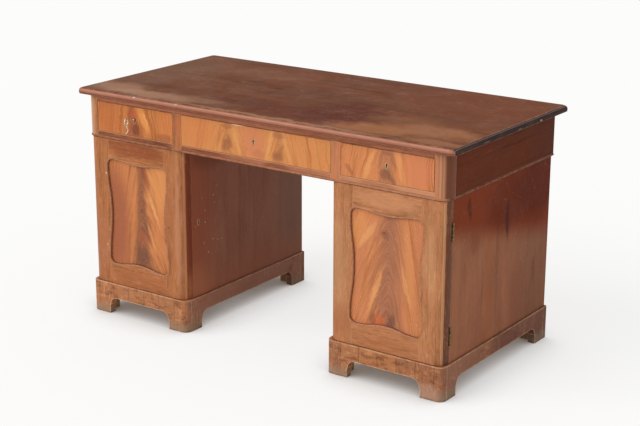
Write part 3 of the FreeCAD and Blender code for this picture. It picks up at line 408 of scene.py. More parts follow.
def flame_mahogany(
    name, seed, plumes, falls, tones, width, core, arch, arch_top, marks, rubbed="#E0AE80", share=0.85,
    wander=((120, 120, 200), (10, 10, 10)),
):
    """Crotch mahogany: broad feathers that fall outward on both sides of a smoky brown plume.

    The plumes are the X of their middle lines.  The falls are how a feather drops to the left and
    to the right of its plume: so much per millimetre out, and so much more per metre of that.  The
    width is the plume's half width at the foot and at the head, with their heights.  Dark arches
    stand in the plume below the height given for them.  The share is how strong the plume is, and
    the wander is the size of the figure's bends and how far they reach.
    """
    material, tree, place = new_material(name)
    bent = wandered(tree, place, *wander, seed + 5)
    parts = add(tree, "SeparateXYZ", bent)
    across = parts.outputs["X"]
    asides = [add(tree, "Math", across, middle * MM, operation="SUBTRACT") for middle in plumes]
    aside = asides[0]
    for other in asides[1:]:
        off = [add(tree, "Math", wire, operation="ABSOLUTE") for wire in (other, aside)]
        nearer = add(tree, "Math", *off, operation="LESS_THAN")
        aside = add(tree, "MapRange", nearer, 0.0, 1.0, aside, other)
    squared = add(tree, "Math", aside, aside, TURN_OVER**2, operation="MULTIPLY_ADD")
    off = add(tree, "Math", squared, operation="SQRT")
    slopes, bends = zip(*falls)
    slope = add(tree, "MapRange", aside, -TURN_OVER, TURN_OVER, *slopes)
    bend = add(tree, "MapRange", aside, -TURN_OVER, TURN_OVER, *bends)
    steepness = add(tree, "Math", off, bend, slope, operation="MULTIPLY_ADD")
    feather = add(tree, "Math", steepness, off, parts.outputs["Z"], operation="MULTIPLY_ADD")
    along = add(tree, "CombineXYZ", feather, aside, 0.0)

    # stripes about 95, 34 and 8 mm apart
    broad = cloud(tree, along, (95, 75, 100), seed, 2.0, 0.5)
    middling = cloud(tree, along, (34, 60, 100), seed + 1, 3.0, 0.55)
    fine = cloud(tree, along, (8, 50, 100), seed + 2, 3.0, 0.6)
    level = add(tree, "Math", middling, MIDDLING_SHARE, operation="MULTIPLY")
    level = add(tree, "Math", broad, BROAD_SHARE, level, operation="MULTIPLY_ADD")
    level = add(tree, "Math", fine, FINE_SHARE, level, operation="MULTIPLY_ADD")
    dark, middle, light = (tone(code) for code in tones)
    colour = add(tree, "ValToRGB", level, stops=[(0.38, dark), (0.62, light), (0.50, middle)])

    heights, widths = (metres(pair) for pair in zip(*width))
    half = add(tree, "MapRange", parts.outputs["Z"], *heights, *widths)
    ragged = cloud(tree, along, (40, 40, 100), seed + 7, 4.0, 0.6)
    ragged = add(tree, "MapRange", ragged, 0.3, 0.7, 0.45, 1.6)
    half = add(tree, "Math", half, ragged, operation="MULTIPLY")
    inside = add(tree, "Math", off, half, operation="DIVIDE")
    inside = add(tree, "MapRange", inside, 1.5, 0.3, 0.0, share, interpolation_type="SMOOTHSTEP")
    colour = add(tree, "MixRGB", inside, colour, tone(core))
    curls = cloud(tree, along, (9, 30, 100), seed + 8, 3.0, 0.6)
    curls = add(tree, "MapRange", curls, 0.45, 0.62, 0.0, 0.6, interpolation_type="SMOOTHSTEP")
    high, low = (arch_top + ARCH_FADE) * MM, (arch_top - ARCH_FADE) * MM
    lower = add(tree, "MapRange", parts.outputs["Z"], high, low, 0.35, 1.0)
    curls = add(tree, "Math", curls, lower, operation="MULTIPLY")
    curls = add(tree, "Math", curls, inside, operation="MULTIPLY")
    colour = add(tree, "MixRGB", curls, colour, tone(arch))

    mottle = cloud(tree, along, (4.5, 26, 100), seed + 6, 4.0, 0.7)
    colour = shaded(tree, colour, mottle, 0.34, 0.66, 0.81, 1.19)
    # real pores are finer; they are drawn wider, so that they show
    pores = cloud(tree, bent, (2.2, 2.2, 10), seed + 2, 2.0, 0.7)
    colour = tinted(tree, colour, pores, *FINE_PORES, FLAME_WAX_AND_SHADE, 0.34)
    colour = marked(tree, place, colour, marks, seed, ragged=(9, 9, 9), bend=(20, 20, 20))
    colour = edge_wear_and_painted_light(tree, place, colour, rubbed, FLAME_WAX_AND_SHADE, seed)
    french_polish(tree, place, colour, pores, seed)
    return material


def jointed_veneer(name, tones, seed, marks):
    """Plinth facing of short veneer strips laid side by side, upright grain, each of its own tone."""
    material, tree, place = new_material(name)
    bent = wandered(tree, place, (200, 200, 200), (4, 4, 4), seed + 5)
    reach = add(tree, "VectorMath", bent, (1, 0, 0), operation="DOT_PRODUCT").outputs["Value"]
    count = add(tree, "Math", reach, VENEER_STRIP, operation="DIVIDE")
    number = add(tree, "Math", count, operation="FLOOR")
    number = add(tree, "Math", number, 0.37 + seed, operation="ADD")
    own = add(tree, "TexWhiteNoise", sockets={"W": number}, noise_dimensions="1D").outputs["Value"]
    streaks = cloud(tree, bent, grain_size("z", 7, 160), seed, 4.0, 0.6)
    # a strip's own tone counts a little more than the streaks in it
    mixed = add(tree, "Math", streaks, 0.45, operation="MULTIPLY")
    mixed = add(tree, "Math", own, 0.55, mixed, operation="MULTIPLY_ADD")
    dark, middle, light = (tone(code) for code in tones)
    colour = add(tree, "ValToRGB", mixed, stops=[(0.22, dark), (0.78, light), (0.50, middle)])
    part = add(tree, "Math", count, operation="FRACT")
    seam = add(tree, "Math", part, 0.5, operation="SUBTRACT")
    seam = add(tree, "Math", seam, operation="ABSOLUTE")
    colour = tinted(tree, colour, seam, 0.465, 0.495, WAX_AND_SHADE, 0.45)
    pores = cloud(tree, bent, grain_size("z", 2.2, 14), seed + 2, 2.0, 0.7)
    colour = tinted(tree, colour, pores, 0.56, 0.70, WAX_AND_SHADE, 0.42)
    dirt = cloud(tree, place, (38, 38, 16), seed + 8, 4.0, 0.6)
    colour = tinted(tree, colour, dirt, 0.52, 0.64, "#58341F", 0.55)
    colour = tinted(tree, colour, dirt, 0.44, 0.34, "#CC9468", 0.4)
    colour = marked(tree, place, colour, marks, seed)
    colour = scratched(tree, bent, colour, "z", VENEER_RUBBED, seed, 0.6)
    colour = edge_wear_and_painted_light(tree, place, colour, VENEER_RUBBED, WAX_AND_SHADE, seed, VENEER_ARRIS)
    french_polish(tree, place, colour, pores, seed, (0.42, 0.60))
    return material


# ------------------------ metals, string and inside woods

# how deep the keyholes are
KEYHOLE_DEPTH = 14.0
# a real strand is 0.7 mm wide; it is drawn wider, so that it shows
STRAND = 2.2


def aged_brass(name, dark, bright, roughness, recess=4.0):
    """Cast brass darkened by age: a warm gleam broken by brown blotches, painted black shade in its
    recesses.

    The recess is how far off a wall may stand and still put painted shade between, in millimetres.
    """
    material, tree, place = new_material(name)
    blotches = cloud(tree, place, (6, 6, 6), 1.0, 4.0, 0.6)
    colour = add(tree, "ValToRGB", blotches, stops=[(0.32, tone(dark)), (0.62, tone(bright))])
    # painted shade: near black where nearby walls keep the light out, as inside a keyhole
    open_sky = add(tree, "AmbientOcclusion", sockets={"Distance": recess * MM}, samples=8).outputs["AO"]
    recess_shade = add(tree, "MapRange", open_sky, 0.92, 0.70)
    colour = add(tree, "MixRGB", recess_shade, colour, tone("#0E0A07"))
    dull = add(tree, "MapRange", blotches, 0.3, 0.7, roughness[1], roughness[0])
    shader = add(tree, "BsdfPrincipled", colour, 1.0, dull)
    add(tree, "OutputMaterial", shader)
    return material


def worn_steel():
    """Old filed steel, rubbed bright on the high places and grey-brown elsewhere."""
    material, tree, place = new_material("worn_steel")
    patches = cloud(tree, place, (5, 5, 5), 2.0, 4.0, 0.6)
    colour = add(tree, "ValToRGB", patches, stops=[(0.28, tone("#7C7264")), (0.56, tone("#E6E0D4"))])
    dull = add(tree, "MapRange", patches, 0.3, 0.7, 0.5, 0.22)
    shader = add(tree, "BsdfPrincipled", colour, 1.0, dull)
    add(tree, "OutputMaterial", shader)
    return material


def cotton_string():
    """Twisted cotton: matt, pale and a little fluffy, with the slant of its strands."""
    material, tree, place = new_material("cotton_string")
    strands = add(
        tree,
        "TexWave",
        place,
        sockets={"Scale": 1000 / STRAND, "Distortion": 1.0, "Detail": 1.0},
        bands_direction="DIAGONAL",
    ).outputs["Fac"]
    colour = add(tree, "MixRGB", strands, tone("#E6CFA2"), tone("#FFF9EA"))
    bump = add(tree, "Bump", sockets={"Strength": 0.6, "Distance": 0.3 * MM, "Height": strands})
    shader = add(tree, "BsdfPrincipled", colour, 0.0, 0.85, sockets={"Normal": bump, "Sheen Weight": 0.2})
    add(tree, "OutputMaterial", shader)
    return material


def raw_wood(name, grain, tones, seed):
    """Planed softwood left bare: pale, dry and matt, with strong year rings along the board."""
    material, tree, place = new_material(name)
    bent = wandered(tree, place, (200, 200, 200), (12, 12, 12), seed + 5)
    rings = cloud(tree, bent, grain_size(grain, 9, 600), seed, 5.0, 0.6)
    dark, middle, light = (tone(code) for code in tones)
    colour = add(tree, "ValToRGB", rings, stops=[(0.32, dark), (0.66, light), (0.50, middle)])
    dust = cloud(tree, place, (120, 120, 120), seed + 3, 4.0, 0.6)
    colour = shaded(tree, colour, dust, 0.3, 0.7, 0.8, 1.08)
    colour = edge_wear_and_painted_light(tree, place, colour, "#D8BE94", "#4E3820", seed)
    bump = add(tree, "Bump", sockets={"Strength": 0.3, "Distance": 0.4 * MM, "Height": rings})
    dry = {"Normal": bump, "Specular IOR Level": 0.3}
    shader = add(tree, "BsdfPrincipled", colour, 0.0, 0.75, sockets=dry)
    add(tree, "OutputMaterial", shader)
    return material


def dried_paint():
    """Dried house paint in small splashes: chalky white with a little grey dust."""
    material, tree, place = new_material("dried_white_paint")
    dust = cloud(tree, place, (3, 3, 3), 4.0, 3.0, 0.6)
    colour = add(tree, "ValToRGB", dust, stops=[(0.35, tone("#B8AEA0")), (0.60, tone("#F0EBDF"))])
    add(tree, "OutputMaterial", add(tree, "BsdfPrincipled", colour, 0.0, 0.7))
    return material


# ------------------------ tones and marks of each wood

# Tones are dark, middle and light.  Marks are drawn in the order given, in millimetres: a patch or a
# chip by its middle, its reach each way, its tone, its strength and how it leans, and a fade by its
# direction, where it starts, where it is full, its tone and its strength.

TOP_HEIGHT = 760
PANEL_FACE = -315
DRAWER_FACE = -324
# how deep a patch on a level and on an upright face goes into the wood
TOP_DEPTH = 90
FRONT_DEPTH = 60


def on_top(*rows):
    """Patches on the top: X, Y, reach each way, tone and strength."""
    return [(patch, (x, y, TOP_HEIGHT), (wide, far, TOP_DEPTH), *look) for x, y, wide, far, *look in rows]


def on_front(face, *rows):
    """Patches on an upright face: X, height, reach across and up, tone, strength and lean."""
    return [(patch, (x, face, z), (wide, FRONT_DEPTH, high), *look) for x, z, wide, high, *look in rows]


CASE_TONES = {
    "left": ("#8F512C", "#AC6C42", "#C2865A"),
    "right": ("#965A36", "#B0744C", "#C68E64"),
}
SILL_TONES = ("#713A24", "#8A5034", "#A26A4A")

# paler along the front, worn and with a painted sheen, a painted grey sheen over the left part, dark in
# the middle, a painted highlight and painted shade on the front moulding, the right edge dark with a
# painted highlight line, and knocked
TOP_MARKS = [
    *on_top(
        # a painted grey sheen on the left, the pale room mirrored in the polish
        (-620, 60, 190, 330, "#74503C", 0.65),
        (480, 190, 330, 220, "#723A1E", 0.65),
        # paler to the front right, worn and with a painted sheen
        (370, -258, 190, 66, "#AC7048", 0.62),
        (560, -190, 190, 80, "#AA704A", 0.58),
        (430, -120, 170, 60, "#96603A", 0.35),
        (620, -296, 110, 34, "#AA7450", 0.50),
        (20, -205, 300, 100, "#602C18", 0.75),
        (190, -150, 140, 180, "#582210", 0.80),
        # paler and greyer to the front left, worn and with a painted sheen
        (-610, -250, 140, 76, "#A47A60", 0.72),
        (-440, -284, 200, 50, "#AC8064", 0.72),
        (-300, -256, 190, 46, "#926A50", 0.50),
        (-60, 60, 230, 60, "#5C3422", 0.40),
        (-330, 200, 240, 70, "#8A5A40", 0.40),
        (120, 230, 260, 60, "#6A3A24", 0.45),
        (80, -322, 520, 14, "#A87A5C", 0.65),
        (-286, 76, 34, 22, "#4C2A1A", 0.65),
        (-171, 26, 30, 18, "#4C2A1A", 0.65),
    ),
    (fade, (1, 0, 0), 702, 705, "#8A6452", 0.5),
    (fade, (1, 0, 0), 706, 708, "#34241F", 0.92),
    (fade, (0, -1, 0), 333, 337, "#AC725C", 0.88),
    # a painted highlight along the front moulding, and painted shade on the moulding's lower part
    (fade, (0, -0.7071, 0.7071), 781.2, 782.8, "#E4B09C", 0.35),
    (fade, (0, 0, -1), -761, -756, "#5E3426", 0.70),
    # a painted highlight line along the right moulding
    (fade, (1, 0, 0), 710.5, 711.5, "#9A8480", 0.5),
    (fade, (1, 0, 0), 712.5, 713.5, "#2A1E1C", 0.85),
    (chip, (716, 176, 757), (5, 8, 4), "#C8A890", 0.7),
    (chip, (717, 40, 756), (5, 14, 2.5), "#8E746A", 0.6),
    (chip, (717, -160, 757), (5, 22, 2.5), "#7C645C", 0.6),
    (chip, (-468, -339, 768), (6, 6, 3), "#F6E6DC", 0.5),
    (chip, (-293, -340, 767), (5, 6, 3), "#F0D8CC", 0.4),
]
# pale rubbed places, a painted sheen on the left door's outer round, dark dirt under the top rail, a
# painted highlight and then painted shade where each door's round edge turns from the light, knocks and
# specks of paint
STILE_MARKS = {
    "left": [
        # a painted sheen on the outer round
        (fade, (-1, 0, 0), 640, 684, "#A87458", 0.4),
        (patch, (-483, -320, 590), (140, 60, 50), "#8C4828", 0.7),
        (patch, (-310, -320, 350), (16, 60, 260), "#BC8464", 0.5),
        (patch, (-350, -320, 420), (22, 60, 150), "#A0623E", 0.5),
        (patch, (-640, -320, 250), (30, 60, 120), "#A8694A", 0.5),
        # a painted highlight, then painted shade where the round edge turns from the light
        (fade, (1, 0, 0), -294, -292, "#CC8E68", 0.5),
        (fade, (1, 0, 0), -289.2, -286.8, "#74301F", 0.88),
        (patch, (-284, -320, 150), (7, 60, 80), "#A8643E", 0.6),
        (chip, (-616, -322, 491), (3, 9, 4), "#F4E4D4", 0.6),
        (chip, (-621, -322, 243), (2.5, 9, 4), "#F0DCCC", 0.5),
        (chip, (-351, -322, 349), (3, 9, 4), "#4A2418"),
    ],
    "right": [
        (patch, (318, -320, 350), (34, 60, 200), "#C0926A", 0.35),
        (patch, (635, -320, 420), (22, 60, 140), "#C09068", 0.4),
        (patch, (330, -320, 180), (40, 60, 60), "#9C6240", 0.5),
        # a painted highlight, then painted shade where the round edge turns from the light
        (fade, (1, 0, 0), 671.5, 672.5, "#D8AC80", 0.45),
        (fade, (1, 0, 0), 673.5, 674.5, "#B47850", 0.7),
        (fade, (1, 0, 0), 677, 678.5, "#5A3226", 0.88),
    ],
}
STILE_SEEDS = {"left": 13.0, "right": 8.0}
# dirt above and below the panels
RAIL_MARKS = {
    "left": [
        (patch, (-483, -320, 585), (150, 60, 34), "#88462A", 0.75),
        (patch, (-483, -320, 140), (150, 60, 40), "#9E5E3A", 0.5),
    ],
    "right": [
        (patch, (483, -320, 578), (130, 60, 30), "#C88C64", 0.55),
        (patch, (483, -320, 136), (150, 60, 40), "#A46640", 0.5),
    ],
}
# a painted highlight down the left post's outer edge, upright pale and dark lines where the veneer goes
# round the right corner, and painted shade where that corner turns from the light
POST_MARKS = [
    (fade, (1, 0, 0), 200, 320, "#CC8660", 0.5),
    (patch, (-293, -324, 690), (26, 60, 80), "#BC6A42", 0.4),
    # a painted highlight on the left post's outer edge
    (fade, (-1, 0, 0), 640, 676, "#D8AE8C", 0.6),
    (fade, (1, 0, 0), 625, 645, "#B47858", 0.4),
    (fade, (1, 0, 0), 654, 656, "#9A6248", 0.45),
    (fade, (1, 0, 0), 658, 660, "#C4906C", 0.55),
    (fade, (1, 0, 0), 664, 666, "#7A4430", 0.45),
    (fade, (1, 0, 0), 668, 670, "#C08C68", 0.5),
    # painted shade where the right corner turns from the light
    (fade, (1, 0, 0), 671, 679, "#653222", 0.85),
]
# a dark line along the joint with the drawers, and painted shadow along the top edge, under the top's
# overhang
HEAD_MARKS = [
    (fade, (0, 0, -1), -735.5, -733.5, "#4A241A", 0.75),
    # painted shadow under the top's overhang
    (fade, (0, 0, 1), 745, 748, "#4A241A", 0.7),
]
# darker on the left, with stains, a pale upper edge and a dark line along the bottom
SILL_MARKS = [
    (fade, (1, 0, 0), -330, 120, "#B07254", 0.7),
    (fade, (1, 0, 0), 200, 420, "#CA8E68", 0.65),
    (patch, (-380, -324, 625), (40, 30, 12), "#5E2E1E", 0.6),
    (patch, (-180, -324, 624), (70, 30, 10), "#74382A", 0.6),
    (patch, (90, -324, 624), (60, 30, 12), "#743A26", 0.6),
    (patch, (450, -324, 624), (80, 30, 10), "#94583C", 0.5),
    (fade, (0, 0, 1), 630.3, 631.6, "#D09A7A", 0.55),
    (fade, (0, 0, -1), -621, -618.5, "#5A2E1E", 0.55),
]
BEAD_MARKS = [
    (fade, (1, 0, 0), -330, 120, "#A06042", 0.7),
    (fade, (1, 0, 0), 200, 420, "#AC6E4A", 0.6),
    (fade, (0, 0, -1), -613.5, -611.5, "#4E281A", 0.75),
    (fade, (1, 0, 0), 676, 687, "#54261A", 0.9),
]
# a worn line along the middle, darker to the back
END_MARKS = [
    (patch, (0, -90, 712), (900, 60, 6), "#7A4634", 0.5),
    (fade, (0, 1, 0), 60, 300, "#4A2418", 0.5),
]
OUTER_TONES = {
    "left": ("#83492E", "#945639", "#A26446"),
    "right": ("#8E5A40", "#996248", "#A66E50"),
}
# lighter low down and dark red high up under the top, a painted reflection of the pale floor, with two
# dark streaks in the grain
OUTER_MARKS = {
    # painted reflection: darker red high up, away from the mirrored floor
    "left": [(fade, (0, 0, 1), 380, 560, "#7E4026", 0.5)],
    "right": [
        (patch, (683, 232, 255), (60, 10, 45), "#5A3A2E", 0.55),
        (patch, (683, -59, 260), (60, 22, 300), "#A05C38", 0.55),
        (patch, (683, -250, 280), (60, 26, 260), "#A46C4C", 0.50),
        (patch, (683, 120, 200), (60, 60, 140), "#8A5038", 0.50),
        (fade, (0, 1, 0), 20, 240, "#744E3C", 0.5),
        # painted reflection: dark red high up, away from the mirrored floor
        (fade, (0, 0.208, 0.978), 385, 470, "#7A2E0E", 0.92),
        (patch, (683, 250, 540), (60, 200, 130), "#521A08", 0.75),
        (patch, (683, 40, 530), (60, 150, 110), "#5A200C", 0.6),
        (patch, (683, 46, 470), (60, 15, 70), "#3A1A16", 0.70),
        (patch, (683, -189, 558), (60, 14, 40), "#40180C", 0.60),
        (patch, (683, -150, 450), (60, 40, 50), "#7A4028", 0.50),
    ],
}
# redder in front, a painted grey sheen behind, and a rough brassy ring round each keyhole
KNEEHOLE_MARKS = [
    (fade, (0, -1, 0), 120, 270, "#9C4F33", 0.65),
    # a painted grey sheen, the pale room mirrored in the polish
    (fade, (0, 1, 0), 80, 300, "#7A5F50", 0.6),
    (fade, (0, 0, -1), -240, -130, "#9A6048", 0.5),
    (patch, (-284, -300, 120), (900, 140, 130), "#B07050", 0.55),
    (patch, (-284, -190, 600), (900, 150, 80), "#7C4836", 0.8),
    (chip, (-283.4, -252.5, 365), (9, 9, 13), "#A08050", 0.55),
    (chip, (283.4, -252.5, 365), (9, 9, 13), "#A08050", 0.55),
]
# darker behind and on the inner faces, pale dust and wet dirt at the feet
PLINTH_MARKS = [
    (fade, (0, 1, 0), -60, -20, "#6C4236", 0.75),
    (patch, (-276, 0, 55), (10, 460, 160), "#9C6E5C", 0.9),
    (patch, (690, -240, 55), (10, 240, 160), "#8E604A", 0.85),
    (fade, (0, 0, -1), -46, -10, "#8E7A66", 0.7),
    (patch, (640, -330, 24), (46, 60, 34), "#A8806A", 0.7),
    (fade, (0, 0, -1), -7, 0, "#40332A", 0.7),
]

# a drawer front's figure bends in a smaller compass than a door's, and its edges are dark, not pale:
# dirt, and painted shade in the gaps round the drawer
DRAWER_FRONT = dict(wander=((44, 44, 44), (11, 11, 11)), rubbed="#804C30")
FLAMES = {
    "door_left_panel": dict(
        plumes=[-472], falls=((3.0, 20.0), (1.1, 7.0)),
        tones=("#9A5230", "#C67C4C", "#E8A266"), width=((180, 52), (520, 20)),
        core="#8A5840", arch="#644032", arch_top=420,
        marks=on_front(
            PANEL_FACE,
            (-590, 330, 80, 230, "#9E5C40", 0.9),
            (-400, 470, 60, 110, "#E49C5C", 0.4),
            (-452, 500, 14, 70, "#8A4630", 0.6, -20),
            (-470, 290, 26, 24, "#B0603E", 0.45),
            (-475, 225, 30, 40, "#6E4A3C", 0.6),
            (-505, 330, 16, 130, "#CC8048", 0.5, 6),
            (-418, 400, 7, 80, "#F0B074", 0.35, -22),
            (-432, 300, 6, 70, "#EAA868", 0.35, -20),
        ),
    ),
    "door_right_panel": dict(
        plumes=[491], falls=((1.5, 7.0), (2.8, 16.0)),
        tones=("#AE6740", "#C37B52", "#D6935F"), width=((180, 50), (520, 34)),
        core="#A0694E", arch="#6E4637", arch_top=260,
        marks=[
            *on_front(
                PANEL_FACE,
                (457, 200, 24, 30, "#C8582E", 0.5, 25),
                (462, 340, 10, 14, "#C8603A", 0.4, 25),
                (500, 205, 18, 30, "#684438", 0.6),
                (437, 205, 14, 22, "#80503C", 0.5),
                (476, 474, 20, 16, "#6E4634", 0.45, 30),
            ),
            (chip, (472, PANEL_FACE, 480), (6, 9, 3), "#5A3626", 0.7),
            *on_front(
                PANEL_FACE,
                (380, 480, 40, 70, "#DA9258", 0.5, 25),
                (560, 400, 16, 150, "#D89058", 0.4, -6),
                (445, 298, 9, 100, "#E8AA6C", 0.45, 20),
                (412, 462, 12, 66, "#E8AC70", 0.4, 34),
                (550, 325, 8, 74, "#E4A66C", 0.4, -14),
                (470, 278, 6, 60, "#94604A", 0.4, 20),
            ),
        ],
    ),
    "drawer_left_front": dict(
        DRAWER_FRONT,
        plumes=[-490], falls=((5.5, 14.0), (2.6, 10.0)),
        tones=("#A4592F", "#C47743", "#DA9557"), width=((640, 26), (725, 17)),
        core="#9E5C3E", arch="#744030", arch_top=690,
        marks=on_front(
            DRAWER_FACE,
            (-482, 710, 20, 18, "#BC5A36", 0.6),
            (-444, 692, 15, 56, "#E6A05A", 0.5, -30),
            (-436, 700, 5, 40, "#F0AE62", 0.4, -26),
            (-540, 690, 7, 70, "#96502F", 0.6, 10),
            (-360, 645, 44, 16, "#8A5034", 0.5),
            (-477, 656, 20, 26, "#743E2C", 0.7),
            (-503, 702, 7, 32, "#94502F", 0.55, 16),
            (-600, 690, 60, 70, "#B06438", 0.5),
        ),
    ),
    "drawer_middle_front": dict(
        DRAWER_FRONT,
        plumes=[-102, 95], falls=((2.0, 12.0), (2.0, 12.0)),
        tones=("#B86E3F", "#CD854E", "#DEA062"), width=((640, 24), (725, 12)),
        core="#B27448", arch="#74462E", arch_top=690, share=0.5,
        marks=[
            *on_front(
                DRAWER_FACE,
                (0, 690, 50, 80, "#C87C58", 0.7),
                (-106, 662, 20, 24, "#84523A", 0.5, 20),
                (-92, 676, 10, 26, "#8A5638", 0.45, -24),
                (92, 654, 26, 18, "#7E4E38", 0.5, -12),
                (104, 674, 10, 26, "#8E5A3E", 0.4, 20),
                (-66, 688, 9, 62, "#E8B070", 0.3, -16),
                (-134, 690, 8, 50, "#A8683E", 0.45, 14),
                (62, 690, 9, 62, "#E8B070", 0.3, 14),
                (126, 688, 10, 62, "#E6AC68", 0.25, -18),
                (20, 650, 26, 18, "#B46E4C", 0.5),
                (-102, 722, 30, 10, "#9A6040", 0.5),
                (95, 718, 26, 12, "#96604A", 0.5),
                (-230, 690, 90, 70, "#C87A48", 0.5),
            ),
            (chip, (-60, DRAWER_FACE, 730.5), (26, 9, 1.6), "#F4E4D4"),
        ],
    ),
    "drawer_right_front": dict(
        DRAWER_FRONT,
        plumes=[482], falls=((2.4, 10.0), (6.0, 14.0)),
        tones=("#B0643B", "#CC8151", "#E09C63"), width=((640, 28), (725, 18)),
        core="#AC7050", arch="#7E4E38", arch_top=665, share=0.65,
        marks=on_front(
            DRAWER_FACE,
            (478, 660, 24, 22, "#7A503E", 0.65),
            (500, 648, 10, 24, "#7A5240", 0.6, -40),
            (462, 702, 8, 34, "#96644A", 0.6, 16),
            (504, 702, 8, 34, "#94624A", 0.6, -16),
            (483, 723, 22, 7, "#946048", 0.6),
            (355, 654, 9, 28, "#84523C", 0.45, -44),
            (422, 680, 13, 60, "#E6A466", 0.45, 24),
            (440, 700, 6, 44, "#B0704A", 0.5, 24),
            (528, 690, 12, 66, "#E6A466", 0.35, -14),
            (548, 690, 5, 66, "#B87248", 0.4, -10),
            (590, 690, 60, 70, "#CC7A58", 0.5),
        ),
    ),
}
# each front's figure is its own: they start here in the pattern and lie this far apart
FLAME_SEED = 10.0
FLAME_SEED_STEP = 3.0


# ------------------------ where each finish goes

EASED_WIDTH = 0.6 * MM
EASED_STEPS = 2
# only edges that turn by more than this are eased, and points nearer than this are one
EASED_FROM = math.radians(35)
SAME_POINT = 0.005 * MM


def finish(names, material):
    """Give the joiner's pieces one finish."""
    for name in names:
        mesh = nodes[name].data
        mesh.materials.clear()
        mesh.materials.append(material)


def ease(names):
    """Take the sharpness off the arrises of the joiner's pieces."""
    for name in names:
        joined = nodes[name].modifiers.new("joined", "WELD")
        joined.merge_threshold = SAME_POINT
        eased = nodes[name].modifiers.new("eased", "BEVEL")
        eased.width = EASED_WIDTH
        eased.segments = EASED_STEPS
        eased.limit_method = "ANGLE"
        eased.angle_limit = EASED_FROM
        eased.harden_normals = True


def dress_top():
    """The writing top."""
    top = straight_mahogany(
        "old_polish_on_mahogany_top", "x", ("#5A2F1A", "#6D3C22", "#804B2D"), seed=1.0,
        streak=(22, 380), marks=TOP_MARKS, ragged=(90, 26, 0), bands=0.20, fleck=0.13,
        rubbed="#C8967C", wax_and_shade="#30201A", gloss=(0.40, 0.55), film=0.015,
    )
    finish(["desk_top"], top)


def dress_doors():
    """The frames of the doors and the beads round their panels."""
    for side in SIDES:
        upright = straight_mahogany(
            f"mahogany_stiles_{side}", "z", CASE_TONES[side], seed=STILE_SEEDS[side],
            streak=(14, 320), marks=STILE_MARKS[side], rubbed="#D8A87C", scratches=0.5, arris=1.2,
        )
        finish([f"door_{side}_stiles"], upright)
        level = straight_mahogany(
            f"mahogany_rails_{side}", "x", CASE_TONES[side], seed=3.0,
            marks=RAIL_MARKS[side], bands=0.20, fleck=0.24, rubbed="#C6946E", scratches=0.6, arris=0.8,
        )
        finish([f"door_{side}_rails"], level)
    bead = straight_mahogany(
        "polished_mahogany_beads", "x", ("#8A4E30", "#A0623E", "#B47850"), seed=3.4,
        rubbed="#E0B48C", scratches=0.2, gloss=(0.16, 0.30), film=0.5,
    )
    finish([f"door_{side}_bead" for side in SIDES], bead)


def dress_frieze():
    """The case that holds the drawers, with its bead."""
    posts = straight_mahogany(
        "mahogany_posts", "z", ("#7E4222", "#AC683F", "#CE9066"), seed=2.6,
        streak=(6, 200), marks=POST_MARKS, bands=0.2, fleck=0.22,
    )
    finish(["frieze_corner_posts", "frieze_dividers"], posts)
    head = straight_mahogany(
        "stained_mahogany_head_rail", "x", ("#96553A", "#B06C4E", "#C88464"), seed=4.0, marks=HEAD_MARKS
    )
    finish(["frieze_top_rail"], head)
    sill = straight_mahogany(
        "mahogany_sill_rail", "x", SILL_TONES, seed=4.5, streak=(6, 90), marks=SILL_MARKS, fleck=0.28
    )
    finish(["frieze_bottom_rail"], sill)
    bead = straight_mahogany(
        "mahogany_frieze_bead", "x", SILL_TONES, seed=4.7, marks=BEAD_MARKS, rubbed="#D8A488", film=0.05
    )
    finish(["frieze_bead"], bead)
    ends = straight_mahogany(
        "red_stained_mahogany_ends", "y", ("#55270F", "#66301B", "#763D26"), seed=5.0,
        marks=END_MARKS, fleck=0.05, rubbed="#A46A4E", scratches=0.12, film=0.02,
    )
    finish([f"frieze_end_{side}" for side in SIDES], ends)


def dress_pedestals():
    """The sides of the cupboards and the plinths under them."""
    for side in SIDES:
        # its upper part is painted darker red, a painted reflection of the floor below
        side_with_painted_reflection = straight_mahogany(
            f"faded_mahogany_outer_side_{side}", "z", OUTER_TONES[side], seed=6.0,
            streak=(20, 500), marks=OUTER_MARKS[side], bands=0.16, fleck=0.07,
            rubbed="#B88060", scratches=0.15, film=0.03,
        )
        finish([f"pedestal_{side}_outer_side"], side_with_painted_reflection)
    kneehole = straight_mahogany(
        "mahogany_kneehole_sides", "z", ("#8B5A48", "#956451", "#9E6D58"), seed=6.5,
        streak=(26, 700), marks=KNEEHOLE_MARKS, fleck=0.09, rubbed="#B08468", scratches=0.15, film=0.06,
    )
    finish([f"pedestal_{side}_inner_side" for side in SIDES], kneehole)
    facing = jointed_veneer(
        "mahogany_plinth_facing", ("#905A3D", "#AA6F49", "#C0875E"), seed=7.0, marks=PLINTH_MARKS
    )
    finish([f"plinth_{side}" for side in SIDES], facing)


def dress_flames():
    """The figured veneer of the door panels and the drawer fronts."""
    for count, (node, figure) in enumerate(FLAMES.items()):
        seed = FLAME_SEED + FLAME_SEED_STEP * count
        finish([node], flame_mahogany(f"flame_mahogany_{node}", seed=seed, **figure))


def dress_fittings():
    """Locks, hinges, bolts and the key."""
    lining = aged_brass(
        "polished_brass_keyhole_linings", "#B08858", "#E2C096", (0.25, 0.4), recess=KEYHOLE_DEPTH
    )
    finish(["door_locks"] + [f"drawer_{drawer}_lock" for drawer in DRAWERS], lining)
    hinge = aged_brass("brass_hinges_brown_with_age", "#3A2E20", "#8C7850", (0.40, 0.60))
    leaves = [f"door_{side}_hinge_leaves" for side in SIDES]
    finish(["hinge_case_leaves", "hinge_pins"] + leaves, hinge)
    bolts = [f"drawer_{drawer}_bolt" for drawer in DRAWERS] + [f"door_{side}_bolt" for side in SIDES]
    finish(["drawer_key"] + bolts, worn_steel())


